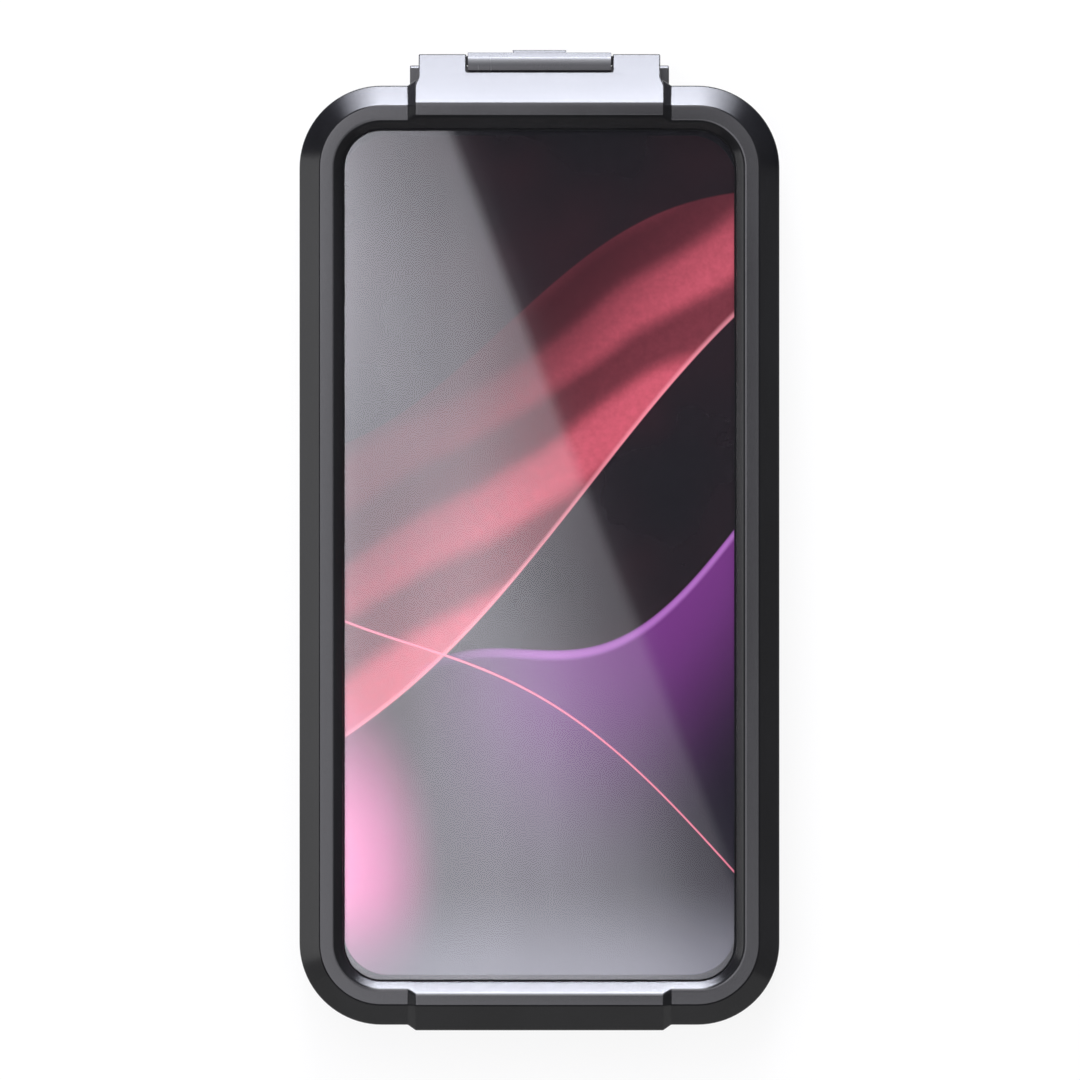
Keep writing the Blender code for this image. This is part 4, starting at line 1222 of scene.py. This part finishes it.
def upright_panel(name, line, look):
    """Upright walls over a line of (x, y, height) points."""
    shape = bmesh.new()
    skin(shape, *([shape.verts.new((x, y, top * part)) for x, y, top in line]
                  for part in (0.0, 1.0)), closed=False)
    return staged(name, shape, look)


def glowing(name, strength):
    return Look(name).lamp((1.0, 1.0, 1.0), strength)


def end_panel_look(strength):
    """The panel beyond the latch, fading at both of its ends."""
    look = Look("end_panel_look")
    across = look.math("ABSOLUTE", look.parts(look.place())[0])
    bright = look.math("POWER", look.span(across, 0.95, 0.06, smooth=False), 1.8)
    return look.lamp((0.86, 0.885, 1.0), look.times(bright, strength))


def upper_panel_look(strength):
    """A narrow panel over the end panel that fades upwards."""
    look = Look("upper_panel_look")
    height = look.parts(look.place())[2]
    bright = look.math("POWER", look.span(height, 1.25, 0.26, smooth=False), 2.2)
    return look.lamp((0.93, 0.94, 1.0), look.plus(look.times(bright, strength), 3.6))


def soft_card_look(strength):
    """A lit card that is cut on a slant, brighter away from the cut, with a low cross strip."""
    look = Look("soft_card_look")
    x, y = look.parts(look.place((1.125, 1.125, 1.0)))[:2]
    away = look.math("SUBTRACT", look.times(x, -0.9343), look.times(y, 0.3564))
    away = look.plus(away, 0.0156)
    streaks = look.noise(look.place((1.0, 0.06, 1.0)), 46.0, 2.0)
    faint = look.span(y, -0.09, 0.07, 0.20, 0.48)
    fade = look.span(away, 0.0, 0.040)
    body = look.plus(faint, look.times(fade, look.math("SUBTRACT", 1.0, faint)))
    body = look.times(body, look.span(streaks, 0.35, 0.65, 0.90, 1.06),
                      look.span(x, -0.036, -0.056, 1.0, 1.4),
                      look.span(y, -0.010, 0.070, 1.0, 1.36),
                      look.span(away, 0.0, 0.004))
    rim = look.times(look.span(y, 0.098, 0.112), look.span(x, -0.05, 0.05, 1.6, 0.85))
    right = look.times(look.span(x, 0.050, 0.058), 0.95)
    body = look.plus(body, look.times(look.span(y, -0.074, -0.096), 0.14))
    low = look.times(look.span(y, -0.096, -0.110), 0.86)
    bright = look.largest(body, rim, right, low)
    return look.lamp((0.94, 0.93, 1.0), look.times(bright, strength))


def floor_look():
    """Pale floor: as white as its background, and it keeps the shadow of the case."""
    look = Look("pale_floor")
    mottle = look.noise(look.place(), 3.0, 2.0)
    pale = look.mix(look.span(mottle, 0.2, 0.8), (0.80, 0.80, 0.80), (0.82, 0.82, 0.82))
    matt = look.node("BsdfDiffuse", {"Color": pale})
    white = look.node("Emission", {"Color": (1.0, 1.0, 1.0, 1.0), "Strength": 1.0})
    path = look.node("LightPath").outputs
    seen = look.largest(path["Is Camera Ray"], path["Is Glossy Ray"], path["Is Transmission Ray"])
    return look.show(look.node("MixShader", {0: look.times(seen, 0.88), 1: matt.outputs[0],
                                             2: white.outputs[0]}))


def build_stage():
    values = settings("case_stage")
    scene = bpy.context.scene
    flat_panel("floor", [(x * FLOOR_HALF, y * FLOOR_HALF, FLOOR_LEVEL)
                         for x, y in ((-1, -1), (1, -1), (1, 1), (-1, 1))], floor_look())
    panels = (
        upright_panel("end_panel", END_LINE, end_panel_look(values.end_panel)),
        upright_panel("side_panel", SIDE_LINE, glowing("side_panel_look", values.side_panel)),
        flat_panel("soft_card", SOFT_CARD, soft_card_look(values.soft_card)),
        flat_panel("upper_panel", UPPER_PANEL, upper_panel_look(values.end_panel * UPPER_SHARE)),
    )
    for panel in panels:
        panel.visible_camera = False
        panel.visible_shadow = False
    for name, (line, tone) in DARK_STRIPS.items():
        strip = upright_panel(name, line, glowing(name + "_look", tone))
        for way in ("camera", "diffuse", "transmission", "shadow"):
            setattr(strip, "visible_" + way, False)

    world = bpy.data.worlds.new("plain_sky")
    scene.world = world
    world.use_nodes = True
    sky = world.node_tree.nodes["Background"]
    sky.inputs["Color"].default_value = (1.0, 1.0, 1.0, 1.0)
    sky.inputs["Strength"].default_value = values.sky

    camera = bpy.data.cameras.new("camera")
    holder = bpy.data.objects.new("camera", camera)
    scene.collection.objects.link(holder)
    holder.location = (CAMERA_X, 0.0, values.camera_height)
    camera.sensor_width = SENSOR_WIDTH
    camera.lens = SENSOR_WIDTH * (values.camera_height - WINDOW_LEVEL) / values.view_width
    camera.clip_start, camera.clip_end = CAMERA_CLIP
    scene.camera = holder
    scene.view_settings.view_transform = "Standard"


# Operators, panel and registration


class BuildFrame(bpy.types.Operator):
    """Build the front frame with its pads, latch lug and knuckles"""

    bl_idname = "phone_case.build_frame"
    bl_label = "Front frame"

    def execute(self, context):
        build_frame()
        return {"FINISHED"}


class BuildTray(bpy.types.Operator):
    """Build the tray with its rim, latch boss, camera opening and socket"""

    bl_idname = "phone_case.build_tray"
    bl_label = "Tray"

    def execute(self, context):
        build_tray()
        return {"FINISHED"}


class BuildLever(bpy.types.Operator):
    """Build the latch lever with its nose, hook and finger tab"""

    bl_idname = "phone_case.build_lever"
    bl_label = "Latch lever"

    def execute(self, context):
        build_lever()
        return {"FINISHED"}


class BuildPins(bpy.types.Operator):
    """Build the hinge pin and the latch pin"""

    bl_idname = "phone_case.build_pins"
    bl_label = "Pins"

    def execute(self, context):
        build_pins()
        return {"FINISHED"}


class BuildSeals(bpy.types.Operator):
    """Build the rim bead and finish the camera seal"""

    bl_idname = "phone_case.build_seals"
    bl_label = "Seals"

    def execute(self, context):
        build_seals()
        return {"FINISHED"}


class BuildFoam(bpy.types.Operator):
    """Build the foam sheet and the four ribbed strips"""

    bl_idname = "phone_case.build_foam"
    bl_label = "Foam"

    def execute(self, context):
        build_foam()
        return {"FINISHED"}


class BuildWindow(bpy.types.Operator):
    """Finish the clear film, the printed card and the camera pane"""

    bl_idname = "phone_case.build_window"
    bl_label = "Window"

    def execute(self, context):
        build_window()
        return {"FINISHED"}


class BuildStage(bpy.types.Operator):
    """Build the floor, the lights and the camera"""

    bl_idname = "phone_case.build_stage"
    bl_label = "Stage"

    def execute(self, context):
        build_stage()
        return {"FINISHED"}


OPERATORS = (BuildFrame, BuildTray, BuildLever, BuildPins, BuildSeals, BuildFoam, BuildWindow,
             BuildStage)
GROUPS = {
    "case_shell": ShellSettings,
    "case_latch": LatchSettings,
    "case_window": WindowSettings,
    "case_foam": FoamSettings,
    "case_metal": MetalSettings,
    "case_stage": StageSettings,
}


class CasePanel(bpy.types.Panel):
    """Lists the pieces of the case and their settings"""

    bl_idname = "VIEW3D_PT_phone_case"
    bl_label = "Phone case"
    bl_space_type = "VIEW_3D"
    bl_region_type = "UI"
    bl_category = "Phone case"

    def draw(self, context):
        for name in GROUPS:
            box = self.layout.box()
            group = getattr(context.scene, name)
            for prop in group.bl_rna.properties:
                if prop.identifier not in ("rna_type", "name"):
                    box.prop(group, prop.identifier)
        for operator in OPERATORS:
            self.layout.operator(operator.bl_idname)


def register():
    for group in GROUPS.values():
        bpy.utils.register_class(group)
    for name, group in GROUPS.items():
        setattr(bpy.types.Scene, name, PointerProperty(type=group))
    for operator in OPERATORS:
        bpy.utils.register_class(operator)
    bpy.utils.register_class(CasePanel)


def unregister():
    bpy.utils.unregister_class(CasePanel)
    for operator in reversed(OPERATORS):
        bpy.utils.unregister_class(operator)
    for name, group in GROUPS.items():
        delattr(bpy.types.Scene, name)
        bpy.utils.unregister_class(group)


def main():
    register()
    for operator in OPERATORS:
        group, name = operator.bl_idname.split(".")
        getattr(getattr(bpy.ops, group), name)()


if __name__ == "__main__":
    main()
